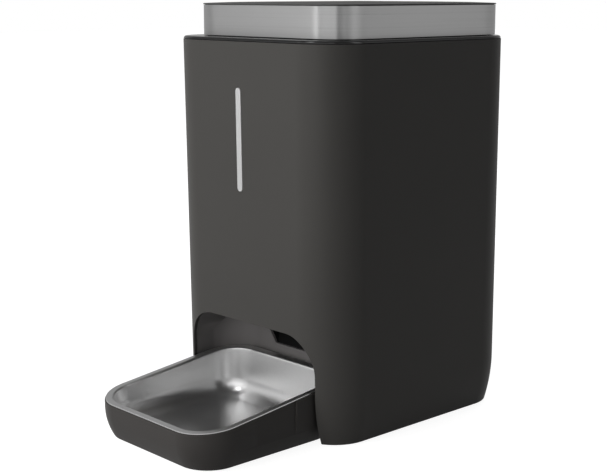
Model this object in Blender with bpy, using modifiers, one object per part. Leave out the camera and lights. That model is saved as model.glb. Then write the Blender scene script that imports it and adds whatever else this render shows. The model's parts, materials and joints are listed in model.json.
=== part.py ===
"""Smart pet feeder: a food tank in a tower, over a tray that holds a steel bowl. Metres, +Z up.

The tower stands at the back and the tray reaches forward, to -Y. Heights are measured from the
floor. Plan sizes of the tower are measured from its own centre line, and one empty then moves
the whole feeder so that the origin lies under the middle of its outline.
"""

import math
from typing import NamedTuple

import bmesh
import bpy
from mathutils import Matrix

# Fits and shared small sizes
GAP = 0.0003
RUNNING_GAP = 0.0001
OVERRUN = 0.004
FLOOR_CLEARANCE = 0.0012
SMALLEST_RADIUS = 0.002

# Tower shell
TOWER_HEIGHT = 0.2810
TOWER_HALF_WIDTH = 0.0882
TOWER_FRONT = 0.0955
TOWER_BACK = 0.0978
SIDE_FLARE = 0.0007
FRONT_FLARE = 0.0049
BACK_FLARE = 0.0006
TOWER_CORNER = 0.0340
SHELL_WALL = 0.0025
TUCK_HEIGHT = 0.0370
TUCK_DEPTH = 0.0052
FOOT_EDGE = 0.0008
SHELL_CLEARANCE = 0.0003

# Arch in the front wall and the niche behind it
ARCH_SIDE_MARGIN = 0.0202
ARCH_HEIGHT = 0.0777
ARCH_CORNER = 0.0270
NICHE_DEPTH = 0.0465
NICHE_CORNER = 0.0300
LINER_WALL = 0.0022
RIB_LOW = 0.0250
RIB_HEIGHT = 0.0080
RIB_THICKNESS = 0.0030
STOP_X = 0.0280

# Food opening in the back of the niche
OPENING_SILL = 0.0490
OPENING_SILL_HALF_WIDTH = 0.0230
OPENING_FLARE_HEIGHT = 0.0600
OPENING_HALF_WIDTH = 0.0310
OPENING_TOP = 0.0725

# Shoulder ring
RING_GROOVE = 0.0004
RING_EDGE = 0.0020
RING_DECK = 0.0020
RING_OVERLAP = 0.0080
RING_LIP = 0.0016
RING_SETBACK = 0.0002
MOUTH_LEDGE = 0.0048

# Lid
LID_SIDE_INSET = 0.0107
LID_FRONT_INSET = 0.0182
LID_BACK_INSET = 0.0028
LID_CORNER = 0.0205
LID_LIFT_GAP = 0.0004
BAND_HEIGHT = 0.0222
BAND_WALL = 0.0008
CAP_OVERHANG = 0.0004
CAP_EDGE = 0.0009
CAP_CROWN = 0.0012
CAP_WALL = 0.0022
PAN_WALL = 0.0020
SKIRT_CLEARANCE = 0.0020
SKIRT_DEPTH = 0.0095
SEAL_HEIGHT = 0.0024

# Desiccant cup under the lid
CUP_HALF_WIDTH = 0.0300
CUP_HALF_DEPTH = 0.0220
CUP_HEIGHT = 0.0130
CUP_CORNER = 0.0080
CUP_WALL = 0.0014
GRILLE_THICKNESS = 0.0014
GRILLE_SLOTS = 6
GRILLE_SLOT = 0.0030
GRILLE_PITCH = 0.0080
GRILLE_MARGIN = 0.0050

# Food tank
HOPPER_WALL = 0.0018
HOPPER_RIM = 0.0040
HOPPER_RIM_THICKNESS = 0.0020
HOPPER_SIDE_CLEARANCE = 0.0012
HOPPER_CORNER = 0.0200
FUNNEL_HEIGHT_SHARE = 0.4
NECK_LENGTH = 0.0080
NECK_CLEARANCE = 0.0033

# Dispenser: measuring chamber, its floor and its posts
ROTOR_BEHIND_NICHE = 0.0610
CHAMBER_RADIUS = 0.0520
CHAMBER_WALL = 0.0020
CHAMBER_FLOOR = 0.1000
DECK_THICKNESS = 0.0024
DECK_SIDE_MARGIN = 0.0162
DECK_BACK_MARGIN = 0.0098
DECK_CORNER = 0.0120
POST_RADIUS = 0.0045
POST_INSET = 0.0100
POST_BEFORE_ROTOR = 0.0300
POST_BEHIND_ROTOR = 0.0440
OUTLET_INNER_RADIUS = 0.0240
OUTLET_OUTER_RADIUS = 0.0490
OUTLET_HALF_ANGLE = math.radians(32)
BAFFLE_THICKNESS = 0.0020
BAFFLE_REACH = 5

# Food rotor and its shaft
ROTOR_CLEARANCE = 0.0022
ROTOR_FLOOR_GAP = 0.0010
BLADE_COUNT = 6
BLADE_HEIGHT = 0.0310
BLADE_THICKNESS = 0.0024
HUB_RADIUS = 0.0090
HUB_CONE_HEIGHT = 0.0140
HUB_TIP_RADIUS = 0.0030
SHAFT_RADIUS = 0.0030
SHAFT_IN_HUB = 0.0220
BUSH_RADIUS = 0.0048
BUSH_FLANGE_RADIUS = 0.0070
BUSH_FLANGE = 0.0014

# Drive: gear, pinion, motor and bracket
GEAR_MODULE = 0.0010
GEAR_TEETH = 36
PINION_TEETH = 12
GEAR_THICKNESS = 0.0060
GEAR_BELOW_DECK = 0.0100
TOOTH_BACKLASH = 0.0006
PINION_STEM_RADIUS = 0.0020
BRACKET_THICKNESS = 0.0020
BRACKET_BELOW_GEAR = 0.0016
BRACKET_HALF_WIDTH = 0.0280
BRACKET_MARGIN = 0.0160
STANDOFF_RADIUS = 0.0035
GEARBOX_HALF_WIDTH = 0.0160
GEARBOX_HEIGHT = 0.0180
MOTOR_RADIUS = 0.0120
MOTOR_LENGTH = 0.0220

# Chute
CHUTE_WALL = 0.0018
CHUTE_FRONT_REACH = 0.0530
CHUTE_BACK_REACH = 0.0190

# Base plate, battery bay, feet and screws
BASE_THICKNESS = 0.0030
BAY_HALF_WIDTH = 0.0330
BAY_LENGTH = 0.0540
BAY_BACK_MARGIN = 0.0208
BAY_HEIGHT = 0.0165
BAY_WALL = 0.0018
DOOR_THICKNESS = 0.0018
DOOR_LAP = 0.0030
DOOR_NOTCH = 0.0070
FOOT_PAD_RADIUS = 0.0060
FOOT_PAD_SIDE_INSET = 0.0242
FOOT_PAD_FRONT_INSET = 0.0105
FOOT_PAD_BACK_INSET = 0.0223
SCREW_RADIUS = 0.0014
SCREW_HEAD_RADIUS = 0.0030
SCREW_HEAD = 0.0018
SCREW_LENGTH = 0.0110

# Light strip
LIGHT_X = -0.0051
LIGHT_BELOW_TOP = 0.0697
LIGHT_LENGTH = 0.0745
LIGHT_WIDTH = 0.0054
LIGHT_PROUD = 0.0002
LIGHT_FLANGE = 0.0018
LIGHT_FLANGE_THICKNESS = 0.0012
LIGHT_BOARD_WIDTH = 0.0110
BOARD_THICKNESS = 0.0016

# Control board, power inlet and pairing button
BOARD_HALF_WIDTH = 0.0310
BOARD_HEIGHT = 0.0620
BOARD_BEHIND_BAY = 0.0040
CHIP_SIZE = 0.0090
CHIP_HEIGHT = 0.0014
SWITCH_SIZE = 0.0060
SWITCH_HEIGHT = 0.0018
REAR_FITTINGS_HEIGHT = 0.0520
INLET_SIDE_INSET = 0.0462
INLET_FLANGE_RADIUS = 0.0062
INLET_FLANGE = 0.0008
INLET_BARREL_RADIUS = 0.0046
INLET_LENGTH = 0.0130
INLET_NUT_RADIUS = 0.0070
INLET_NUT = 0.0020
SOCKET_RADIUS = 0.0028
SOCKET_DEPTH = 0.0090
SOCKET_PIN_RADIUS = 0.0010
BUTTON_X = -0.0200
BUTTON_RADIUS = 0.0036
BUTTON_FLANGE_RADIUS = 0.0052
BUTTON_FLANGE = 0.0010
BUTTON_TRAVEL = 0.0008
BUTTON_RECESS = 0.0003

# Tray
TRAY_SIDE_CLEARANCE = 0.0022
TRAY_BACK_CLEARANCE = 0.0061
TRAY_LENGTH = 0.1368
TRAY_CORNER = 0.0294
TRAY_RIM_FRONT = 0.0265
TRAY_RIM_RISE_SHARE = 0.121
TRAY_WALL = 0.0026
TRAY_TUCK_HEIGHT = 0.0226
TRAY_TUCK_DEPTH = 0.0069
TRAY_EDGE = 0.0008
TRAY_FLOOR = 0.0026
TRAY_CLEARANCE = 0.0005
GRIP_SETBACK = 0.0446
GRIP_LENGTH = 0.0389
GRIP_RAMP = 0.0045
GRIP_DEPTH = 0.0014
PAD_HALF_LENGTH = 0.0300
PAD_HALF_WIDTH = 0.0040
PAD_INSET = 0.0240
PAD_THICKNESS = 0.0012

# Bowl
BOWL_WALL = 0.0008
BOWL_FLANGE = 0.0056
BOWL_FLANGE_INSET = 0.0006
BOWL_DRAFT = 0.0020
BOWL_SWEEP = 0.0150
BOWL_FLOOR_GAP = 0.0030
BOWL_CORNER_AT_FLOOR = 0.0120

# Counts for round stretches
OUTER_SEGMENTS = 10
INNER_SEGMENTS = 6
ROUND_STEPS = 32
SMALL_STEPS = 16
ARC_STEPS = 4
SMOOTH_ANGLE = math.radians(35)

# Heights and places that follow from the sizes above
HEAD_FRONT = TOWER_FRONT + FRONT_FLARE
HEAD_BACK = TOWER_BACK + BACK_FLARE
LID_HALF_WIDTH = TOWER_HALF_WIDTH + SIDE_FLARE - LID_SIDE_INSET
LID_FRONT = HEAD_FRONT - LID_FRONT_INSET
LID_BACK = HEAD_BACK - LID_BACK_INSET
ARCH_HALF_WIDTH = TOWER_HALF_WIDTH - ARCH_SIDE_MARGIN
NICHE_WALL_Y = NICHE_DEPTH - TOWER_FRONT
ROTOR_Y = NICHE_WALL_Y + ROTOR_BEHIND_NICHE
ROTOR_BOTTOM = CHAMBER_FLOOR + DECK_THICKNESS + ROTOR_FLOOR_GAP
CHAMBER_TOP = ROTOR_BOTTOM + BLADE_HEIGHT + NECK_CLEARANCE + NECK_LENGTH
FUNNEL_TOP = CHAMBER_TOP + FUNNEL_HEIGHT_SHARE * (TOWER_HEIGHT - CHAMBER_TOP)
DECK_HALF_WIDTH = TOWER_HALF_WIDTH - DECK_SIDE_MARGIN
DECK_FRONT_Y = ROTOR_Y - CHAMBER_RADIUS - CHAMBER_WALL
DECK_BACK_Y = TOWER_BACK - DECK_BACK_MARGIN
CHUTE_FRONT_Y = ROTOR_Y - CHUTE_FRONT_REACH
CHUTE_BACK_Y = ROTOR_Y - CHUTE_BACK_REACH
BAY_BACK_Y = TOWER_BACK - BAY_BACK_MARGIN
BAY_FRONT_Y = BAY_BACK_Y - BAY_LENGTH
LIGHT_CENTRE_HEIGHT = TOWER_HEIGHT - LIGHT_BELOW_TOP
INLET_X = TOWER_HALF_WIDTH - INLET_SIDE_INSET
TRAY_HALF_WIDTH = ARCH_HALF_WIDTH - TRAY_SIDE_CLEARANCE
TRAY_BACK = NICHE_WALL_Y - TRAY_BACK_CLEARANCE
TRAY_FRONT = TRAY_BACK - TRAY_LENGTH
RING_TOP = TOWER_HEIGHT + RING_GROOVE + RING_EDGE
RING_UNDERSIDE = RING_TOP - RING_DECK
BAND_BOTTOM = RING_TOP + LID_LIFT_GAP
BAND_TOP = BAND_BOTTOM + BAND_HEIGHT
PAN_TOP = BAND_TOP - CAP_WALL - GAP
PAN_CEILING = PAN_TOP - PAN_WALL
GEAR_TOP = CHAMBER_FLOOR - GEAR_BELOW_DECK
GEAR_BOTTOM = GEAR_TOP - GEAR_THICKNESS
BRACKET_TOP = GEAR_BOTTOM - BRACKET_BELOW_GEAR
BRACKET_BOTTOM = BRACKET_TOP - BRACKET_THICKNESS
MOTOR_Y = ROTOR_Y + GEAR_MODULE * (GEAR_TEETH + PINION_TEETH) / 2
BASE_BOTTOM = FLOOR_CLEARANCE + GAP
BASE_TOP = BASE_BOTTOM + BASE_THICKNESS
FEEDER_SHIFT = -(TRAY_FRONT + HEAD_BACK) / 2


class Section(NamedTuple):
    """A rounded rectangle: its height, half width, front and back y, corner radius and tilt.

    A tilted section rises towards +Y at the rate given, from its height at the tray's front edge.
    """

    z: float
    half: float
    front: float
    back: float
    radius: float
    rise: float = 0.0


def inset(section, amount, z=None):
    """The same section drawn in on every side, at another height if one is given."""
    return section._replace(
        z=section.z if z is None else z,
        half=section.half - amount,
        front=section.front + amount,
        back=section.back - amount,
        radius=max(section.radius - amount, SMALLEST_RADIUS),
    )


def tower_section(z, amount=0.0):
    """The tower's outline at a height, drawn in by an amount."""
    share = z / TOWER_HEIGHT
    drawn = tuck(z, TUCK_HEIGHT, TUCK_DEPTH) + amount
    return Section(
        z,
        TOWER_HALF_WIDTH + SIDE_FLARE * share - drawn,
        drawn - TOWER_FRONT - FRONT_FLARE * share,
        TOWER_BACK + BACK_FLARE * share - drawn,
        max(TOWER_CORNER - drawn, SMALLEST_RADIUS),
    )


def tuck(z, height, depth):
    """How far a wall has curved in at a height, on a circular arc that starts upright."""
    if z >= height:
        return 0.0
    arc_radius = (height**2 + depth**2) / (2 * depth)
    return arc_radius - math.sqrt(arc_radius**2 - (height - z) ** 2)


def lid_section(z, amount=0.0):
    """The lid's outline at a height, drawn in by an amount."""
    return inset(Section(z, LID_HALF_WIDTH, -LID_FRONT, LID_BACK, LID_CORNER), amount)


def tray_section(z, amount=0.0):
    """The tray's outline at a height, drawn in by an amount."""
    drawn = tuck(z, TRAY_TUCK_HEIGHT, TRAY_TUCK_DEPTH) + amount
    return inset(Section(z, TRAY_HALF_WIDTH, TRAY_FRONT, TRAY_BACK, TRAY_CORNER), drawn)


def tray_rim(lift=0.0, amount=0.0):
    """The tray's outline on the tilted plane of its rim, lifted and drawn in."""
    rim = Section(
        TRAY_RIM_FRONT + lift, TRAY_HALF_WIDTH, TRAY_FRONT, TRAY_BACK, TRAY_CORNER, TRAY_RIM_RISE_SHARE
    )
    return inset(rim, amount)


def round_section(z, radius):
    """A circle about the rotor's axis, as the round end of a loft."""
    return Section(z, radius, ROTOR_Y - radius, ROTOR_Y + radius, radius)


def quarter_arc(steps=ARC_STEPS):
    """Sine and one minus cosine at even steps over a quarter turn, both from 0 to 1."""
    turns = [math.pi / 2 * step / steps for step in range(steps + 1)]
    return [(math.sin(turn), 1 - math.cos(turn)) for turn in turns]


# Scene, materials and object helpers


def clear_scene():
    for old in list(bpy.data.objects):
        bpy.data.objects.remove(old, do_unlink=True)


def new_collection(name):
    collection = bpy.data.collections.new(name)
    bpy.context.scene.collection.children.link(collection)
    return collection


clear_scene()
PARTS = new_collection("smart_pet_feeder")
CUTTERS = new_collection("cutters")

FEEDER = bpy.data.objects.new("feeder", None)
FEEDER.location = (0, FEEDER_SHIFT, 0)
PARTS.objects.link(FEEDER)


def make_material(name, colour, roughness, metallic=0.0):
    material = bpy.data.materials.new(name)
    material.use_nodes = True
    shader = material.node_tree.nodes["Principled BSDF"]
    shader.inputs["Base Color"].default_value = (*colour, 1)
    shader.inputs["Roughness"].default_value = roughness
    shader.inputs["Metallic"].default_value = metallic
    return material


CHARCOAL = make_material("charcoal plastic", (0.075, 0.072, 0.068), 0.45)
CAP_GREY = make_material("dark grey plastic", (0.09, 0.09, 0.088), 0.4)
GLOSS_BLACK = make_material("gloss black plastic", (0.006, 0.006, 0.006), 0.08)
NICHE_GREY = make_material("niche plastic", (0.07, 0.062, 0.06), 0.5)
BRUSHED_STEEL = make_material("brushed stainless steel", (0.52, 0.52, 0.52), 0.3, 1.0)
BOWL_STEEL = make_material("bowl stainless steel", (0.6, 0.6, 0.59), 0.25, 1.0)
LENS = make_material("frosted lens", (0.62, 0.62, 0.62), 0.35)
SILICONE = make_material("grey silicone", (0.3, 0.3, 0.3), 0.6)
TANK = make_material("smoked tank plastic", (0.2, 0.2, 0.2), 0.3)
INNER_PLASTIC = make_material("inner plastic", (0.12, 0.12, 0.12), 0.5)
ROTOR_RUBBER = make_material("rotor rubber", (0.35, 0.36, 0.38), 0.6)
ACETAL = make_material("white acetal", (0.8, 0.8, 0.76), 0.4)
PLATED_STEEL = make_material("plated steel", (0.5, 0.5, 0.5), 0.3, 1.0)
BOARD_GREEN = make_material("circuit board", (0.02, 0.12, 0.05), 0.45)
RUBBER = make_material("black rubber", (0.02, 0.02, 0.02), 0.8)


def add_object(name, mesh, material, parent=FEEDER):
    """Places a mesh in the part, or among the cutters where it has no material."""
    new = bpy.data.objects.new(name, mesh)
    new.parent = parent
    if material is None:
        CUTTERS.objects.link(new)
        new.hide_render = True
        new.display_type = "WIRE"
    else:
        PARTS.objects.link(new)
        mesh.materials.append(material)
        mesh.shade_smooth()
        mesh.set_sharp_from_angle(angle=SMOOTH_ANGLE)
    return new


def combine(target, tool, operation):
    """Leaves a Boolean on the target that uses the tool."""
    modifier = target.modifiers.new(operation.lower(), "BOOLEAN")
    modifier.operation = operation
    modifier.solver = "EXACT"
    modifier.object = tool


def mesh_from(work, name):
    """Ends a bmesh as a mesh whose faces point out."""
    bmesh.ops.recalc_face_normals(work, faces=work.faces)
    mesh = bpy.data.meshes.new(name)
    work.to_mesh(mesh)
    work.free()
    return mesh


def outline_points(section, segments):
    """The rounded rectangle's points, counter-clockwise from its front right corner."""
    centres = (
        (section.half - section.radius, section.front + section.radius),
        (section.half - section.radius, section.back - section.radius),
        (section.radius - section.half, section.back - section.radius),
        (section.radius - section.half, section.front + section.radius),
    )
    points = []
    for corner, (x, y) in enumerate(centres):
        for step in range(segments + 1):
            turn = math.pi / 2 * (corner - 1 + step / segments)
            points.append((x + section.radius * math.cos(turn), y + section.radius * math.sin(turn)))
    return points


def loft(name, sections, material, segments=OUTER_SEGMENTS, closed=False):
    """A skin through rounded rectangles, capped at both ends or closed into a ring of wall."""
    work = bmesh.new()
    rings = []
    for section in sections:
        ring = []
        for x, y in outline_points(section, segments):
            ring.append(work.verts.new((x, y, section.z + section.rise * (y - TRAY_FRONT))))
        rings.append(ring)
    pairs = list(zip(rings, rings[1:]))
    if closed:
        pairs.append((rings[-1], rings[0]))
    else:
        work.faces.new(reversed(rings[0]))
        work.faces.new(rings[-1])
    for lower, upper in pairs:
        for index, corner in enumerate(lower):
            after = (index + 1) % len(lower)
            work.faces.new((corner, lower[after], upper[after], upper[index]))
    bmesh.ops.remove_doubles(work, verts=work.verts, dist=GAP / 100)
    return add_object(name, mesh_from(work, name), material)


def box(name, low, high, material=None, parent=FEEDER):
    """A box between two corners."""
    work = bmesh.new()
    bmesh.ops.create_cube(work, size=1)
    size = [b - a for a, b in zip(low, high)]
    centre = [(a + b) / 2 for a, b in zip(low, high)]
    bmesh.ops.transform(work, matrix=Matrix.LocRotScale(centre, None, size), verts=work.verts)
    return add_object(name, mesh_from(work, name), material, parent)


def cylinder(name, radius, low, high, x=0.0, y=0.0, material=None, steps=ROUND_STEPS, top_radius=None):
    """An upright cylinder or cone between two heights."""
    work = bmesh.new()
    bmesh.ops.create_cone(
        work,
        cap_ends=True,
        segments=steps,
        radius1=radius,
        radius2=radius if top_radius is None else top_radius,
        depth=high - low,
        matrix=Matrix.Translation((x, y, (low + high) / 2)),
    )
    return add_object(name, mesh_from(work, name), material)


def flat(name, outlines, low, high, material=None, upright=False):
    """A plate of even thickness from flat outlines, the first one's holes after it.

    It lies between two heights, or, upright, it stands in the XZ plane between two values of y.
    """
    curve = bpy.data.curves.new(name, "CURVE")
    curve.dimensions = "2D"
    curve.fill_mode = "BOTH"
    curve.extrude = (high - low) / 2
    for outline in outlines:
        spline = curve.splines.new("POLY")
        spline.points.add(len(outline) - 1)
        for point, (x, y) in zip(spline.points, outline):
            point.co = (x, y, 0, 1)
        spline.use_cyclic_u = True
    drawing = bpy.data.objects.new(name, curve)
    CUTTERS.objects.link(drawing)
    mesh = bpy.data.meshes.new_from_object(drawing.evaluated_get(bpy.context.evaluated_depsgraph_get()))
    bpy.data.objects.remove(drawing)
    work = bmesh.new()
    work.from_mesh(mesh)
    bpy.data.meshes.remove(mesh)
    bmesh.ops.remove_doubles(work, verts=work.verts, dist=GAP / 100)
    bmesh.ops.translate(work, vec=(0, 0, (low + high) / 2), verts=work.verts)
    if upright:
        stand = Matrix(((1, 0, 0, 0), (0, 0, 1, 0), (0, 1, 0, 0), (0, 0, 0, 1)))
        bmesh.ops.transform(work, matrix=stand, verts=work.verts)
    return add_object(name, mesh_from(work, name), material)


def turned(name, profile, material, steps=ROUND_STEPS, ring=False):
    """A turned piece: a profile of radius and height, down its outer side, spun by a Screw."""
    mesh = bpy.data.meshes.new(name)
    edges = [(index, index + 1) for index in range(len(profile) - 1)]
    if ring:
        edges.append((len(profile) - 1, 0))
    mesh.from_pydata([(radius, 0, z) for radius, z in profile], edges, [])
    piece = add_object(name, mesh, material)
    spin = piece.modifiers.new("spin", "SCREW")
    spin.steps = steps
    spin.render_steps = steps
    spin.use_merge_vertices = True
    spin.merge_threshold = GAP / 100
    spin.use_smooth_shade = True
    return piece


def rounded_outline(half, low, high, radius, segments=INNER_SEGMENTS):
    return outline_points(Section(0, half, low, high, radius), segments)


def round_outline(radius, x=0.0, y=0.0, steps=ROUND_STEPS):
    turns = [2 * math.pi * step / steps for step in range(steps)]
    return [(x + radius * math.cos(turn), y + radius * math.sin(turn)) for turn in turns]


def stadium_outline(half_width, half_length, x, y):
    """A bar with round ends, its length along the second coordinate."""
    points = []
    for end, start in ((1, 0), (-1, math.pi)):
        for step in range(SMALL_STEPS // 2 + 1):
            turn = start + math.pi * step / (SMALL_STEPS // 2)
            across = half_width * math.cos(turn)
            along = end * (half_length - half_width) + half_width * math.sin(turn)
            points.append((x + across, y + along))
    return points


# Tower


def outer_shell():
    """The tower's wall: a lofted tube that curves in at the foot, with its openings cut."""
    tuck_shares = (0.16, 0.3, 0.46, 0.62, 0.8, 1.0)
    foot_top = SHELL_CLEARANCE + FOOT_EDGE
    foot_levels = [foot_top + share * (TUCK_HEIGHT - foot_top) for share in tuck_shares]
    outside = []
    for rise, run in quarter_arc(3):
        outside.append(tower_section(SHELL_CLEARANCE + FOOT_EDGE * run, FOOT_EDGE * (1 - rise)))
    outside += [tower_section(z) for z in foot_levels]
    outside.append(tower_section(TOWER_HEIGHT))
    inside = [tower_section(TOWER_HEIGHT, SHELL_WALL)]
    inside += [tower_section(z, SHELL_WALL) for z in reversed(foot_levels)]
    inside.append(tower_section(SHELL_CLEARANCE, SHELL_WALL))
    shell = loft("outer_shell", outside + inside, CHARCOAL, closed=True)

    arch = rounded_outline(ARCH_HALF_WIDTH, -ARCH_HEIGHT, ARCH_HEIGHT, ARCH_CORNER, OUTER_SEGMENTS)
    front_cut = flat("arch_cut", [arch], -HEAD_FRONT - OVERRUN, NICHE_WALL_Y - OVERRUN, upright=True)
    combine(shell, front_cut, "DIFFERENCE")

    slot = light_bar("light_slot", GAP, OVERRUN + SHELL_WALL, OVERRUN)
    combine(shell, slot, "DIFFERENCE")

    through = TOWER_BACK - SHELL_WALL - OVERRUN
    back_holes = (
        (INLET_X, INLET_BARREL_RADIUS, through),
        (INLET_X, INLET_FLANGE_RADIUS, rear_wall_y() - INLET_FLANGE - GAP),
        (BUTTON_X, BUTTON_RADIUS, through),
    )
    for x, radius, depth_y in back_holes:
        outline = round_outline(radius + GAP, x, REAR_FITTINGS_HEIGHT, SMALL_STEPS)
        hole = flat("rear_hole", [outline], depth_y, HEAD_BACK + OVERRUN, upright=True)
        combine(shell, hole, "DIFFERENCE")


def front_lean():
    """The turn about X that sets a flat piece against the leaning front wall."""
    return math.atan2(FRONT_FLARE, TOWER_HEIGHT)


def front_y(z):
    return tower_section(z).front


def light_bar(name, margin, depth, proud, material=None):
    """A bar with round ends that follows the lean of the front wall, margin larger all round."""
    outline = stadium_outline(LIGHT_WIDTH / 2 + margin, LIGHT_LENGTH / 2 + margin, 0, 0)
    bar = flat(name, [outline], -proud, depth, material, upright=True)
    bar.location = (LIGHT_X, front_y(LIGHT_CENTRE_HEIGHT), LIGHT_CENTRE_HEIGHT)
    bar.rotation_euler.x = front_lean()
    return bar


def light_strip():
    """The lens: a bar through the slot, with a flange that bears on the wall from inside."""
    lens = light_bar("light_strip", 0, SHELL_WALL + GAP + LIGHT_FLANGE_THICKNESS, LIGHT_PROUD, LENS)
    flange_outline = stadium_outline(LIGHT_WIDTH / 2 + LIGHT_FLANGE, LIGHT_LENGTH / 2 + LIGHT_FLANGE, 0, 0)
    near = SHELL_WALL + GAP
    far = near + LIGHT_FLANGE_THICKNESS
    flange = flat("light_flange", [flange_outline], near, far, upright=True)
    flange.parent = lens
    combine(lens, flange, "UNION")

    board_outline = stadium_outline(LIGHT_BOARD_WIDTH / 2, LIGHT_LENGTH / 2 + LIGHT_BOARD_WIDTH / 2, 0, 0)
    board = flat("light_board", [board_outline], far + GAP, far + GAP + BOARD_THICKNESS, BOARD_GREEN, True)
    board.location = lens.location
    board.rotation_euler.x = front_lean()


def shoulder_ring():
    """The glossy ring: rounded outer edge, flat deck to the tank mouth and a lip in the shell."""
    lip_outer = SHELL_WALL + GAP
    lip_inner = lip_outer + RING_LIP
    sections = [
        tower_section(TOWER_HEIGHT, lip_outer)._replace(z=TOWER_HEIGHT - RING_OVERLAP),
        tower_section(TOWER_HEIGHT, lip_outer)._replace(z=TOWER_HEIGHT + RING_GROOVE),
    ]
    for rise, run in quarter_arc():
        outer = tower_section(TOWER_HEIGHT, RING_SETBACK + RING_EDGE * run)
        sections.append(outer._replace(z=TOWER_HEIGHT + RING_GROOVE + RING_EDGE * rise))
    sections += [
        lid_section(RING_TOP, MOUTH_LEDGE),
        lid_section(RING_UNDERSIDE, MOUTH_LEDGE),
        tower_section(TOWER_HEIGHT, lip_inner)._replace(z=RING_UNDERSIDE),
        tower_section(TOWER_HEIGHT, lip_inner)._replace(z=TOWER_HEIGHT - RING_OVERLAP),
    ]
    loft("shoulder_ring", sections, GLOSS_BLACK, closed=True)


def niche_plan(name, margin, low, high):
    """The niche seen from above, larger by a margin: open to the front, round at the back corners."""
    corner = NICHE_CORNER + margin
    front = -HEAD_FRONT - OVERRUN - corner
    plan = Section(low, ARCH_HALF_WIDTH + margin, front, NICHE_WALL_Y + margin, corner)
    return loft(name, [plan, plan._replace(z=high)], None)


def niche_liner():
    """The tunnel behind the arch, with the food opening and two ribs that stop the tray's back."""
    outer = rounded_outline(
        ARCH_HALF_WIDTH + LINER_WALL,
        -ARCH_HEIGHT,
        ARCH_HEIGHT + LINER_WALL,
        ARCH_CORNER + LINER_WALL,
        OUTER_SEGMENTS,
    )
    liner = flat("niche_liner", [outer], -HEAD_FRONT, NICHE_WALL_Y + LINER_WALL + OVERRUN, NICHE_GREY, True)
    top = ARCH_HEIGHT + LINER_WALL + OVERRUN
    combine(liner, niche_plan("niche_outside", LINER_WALL, -OVERRUN, top), "INTERSECT")
    inner = rounded_outline(ARCH_HALF_WIDTH, -ARCH_HEIGHT, ARCH_HEIGHT, ARCH_CORNER, OUTER_SEGMENTS)
    hollow = flat("niche_hollow", [inner], -HEAD_FRONT - OVERRUN, NICHE_WALL_Y + OVERRUN, upright=True)
    combine(hollow, niche_plan("niche_inside", 0, -OVERRUN, top), "INTERSECT")
    combine(liner, hollow, "DIFFERENCE")
    combine(liner, food_opening(), "DIFFERENCE")
    for side in (-1, 1):
        stop = box(
            "tray_stop",
            (side * STOP_X - RIB_THICKNESS / 2, TRAY_BACK + GAP, RIB_LOW),
            (side * STOP_X + RIB_THICKNESS / 2, NICHE_WALL_Y + LINER_WALL / 2, RIB_LOW + RIB_HEIGHT),
        )
        combine(liner, stop, "UNION")

    levels = [BASE_BOTTOM + share * (TUCK_HEIGHT - BASE_BOTTOM) for share in (0.0, 0.3, 0.62, 1.0)]
    room_sections = [tower_section(z, SHELL_WALL + GAP) for z in levels]
    room_sections.append(tower_section(ARCH_HEIGHT + LINER_WALL + OVERRUN, SHELL_WALL + GAP))
    room = loft("niche_room", room_sections, None)
    combine(liner, room, "INTERSECT")


def food_opening():
    """The opening's outline drawn through the niche's back wall."""
    return flat(
        "food_opening",
        [opening_outline(0, OPENING_TOP)],
        NICHE_WALL_Y - OVERRUN,
        NICHE_WALL_Y + LINER_WALL + OVERRUN,
        upright=True,
    )


def opening_outline(margin, top):
    """A narrow sill that flares to the full width, larger by a margin at the sill and sides."""
    return [
        (-OPENING_SILL_HALF_WIDTH - margin, OPENING_SILL - margin),
        (OPENING_SILL_HALF_WIDTH + margin, OPENING_SILL - margin),
        (OPENING_HALF_WIDTH + margin, OPENING_FLARE_HEIGHT),
        (OPENING_HALF_WIDTH + margin, top),
        (-OPENING_HALF_WIDTH - margin, top),
        (-OPENING_HALF_WIDTH - margin, OPENING_FLARE_HEIGHT),
    ]


# Chute


def across(name, outline, half_width, material=None):
    """A side profile of y and height, drawn out to both sides."""
    piece = flat(name, [outline], -half_width, half_width, material)
    piece.data.transform(Matrix(((0, 0, 1, 0), (1, 0, 0, 0), (0, 1, 0, 0), (0, 0, 0, 1))))
    return piece


def chute_width(name, margin):
    """What the chute keeps of its side profile: a narrow floor that flares to its full width."""
    outline = opening_outline(margin, CHAMBER_FLOOR + OVERRUN)
    return flat(name, [outline], NICHE_WALL_Y, ROTOR_Y, upright=True)


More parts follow.
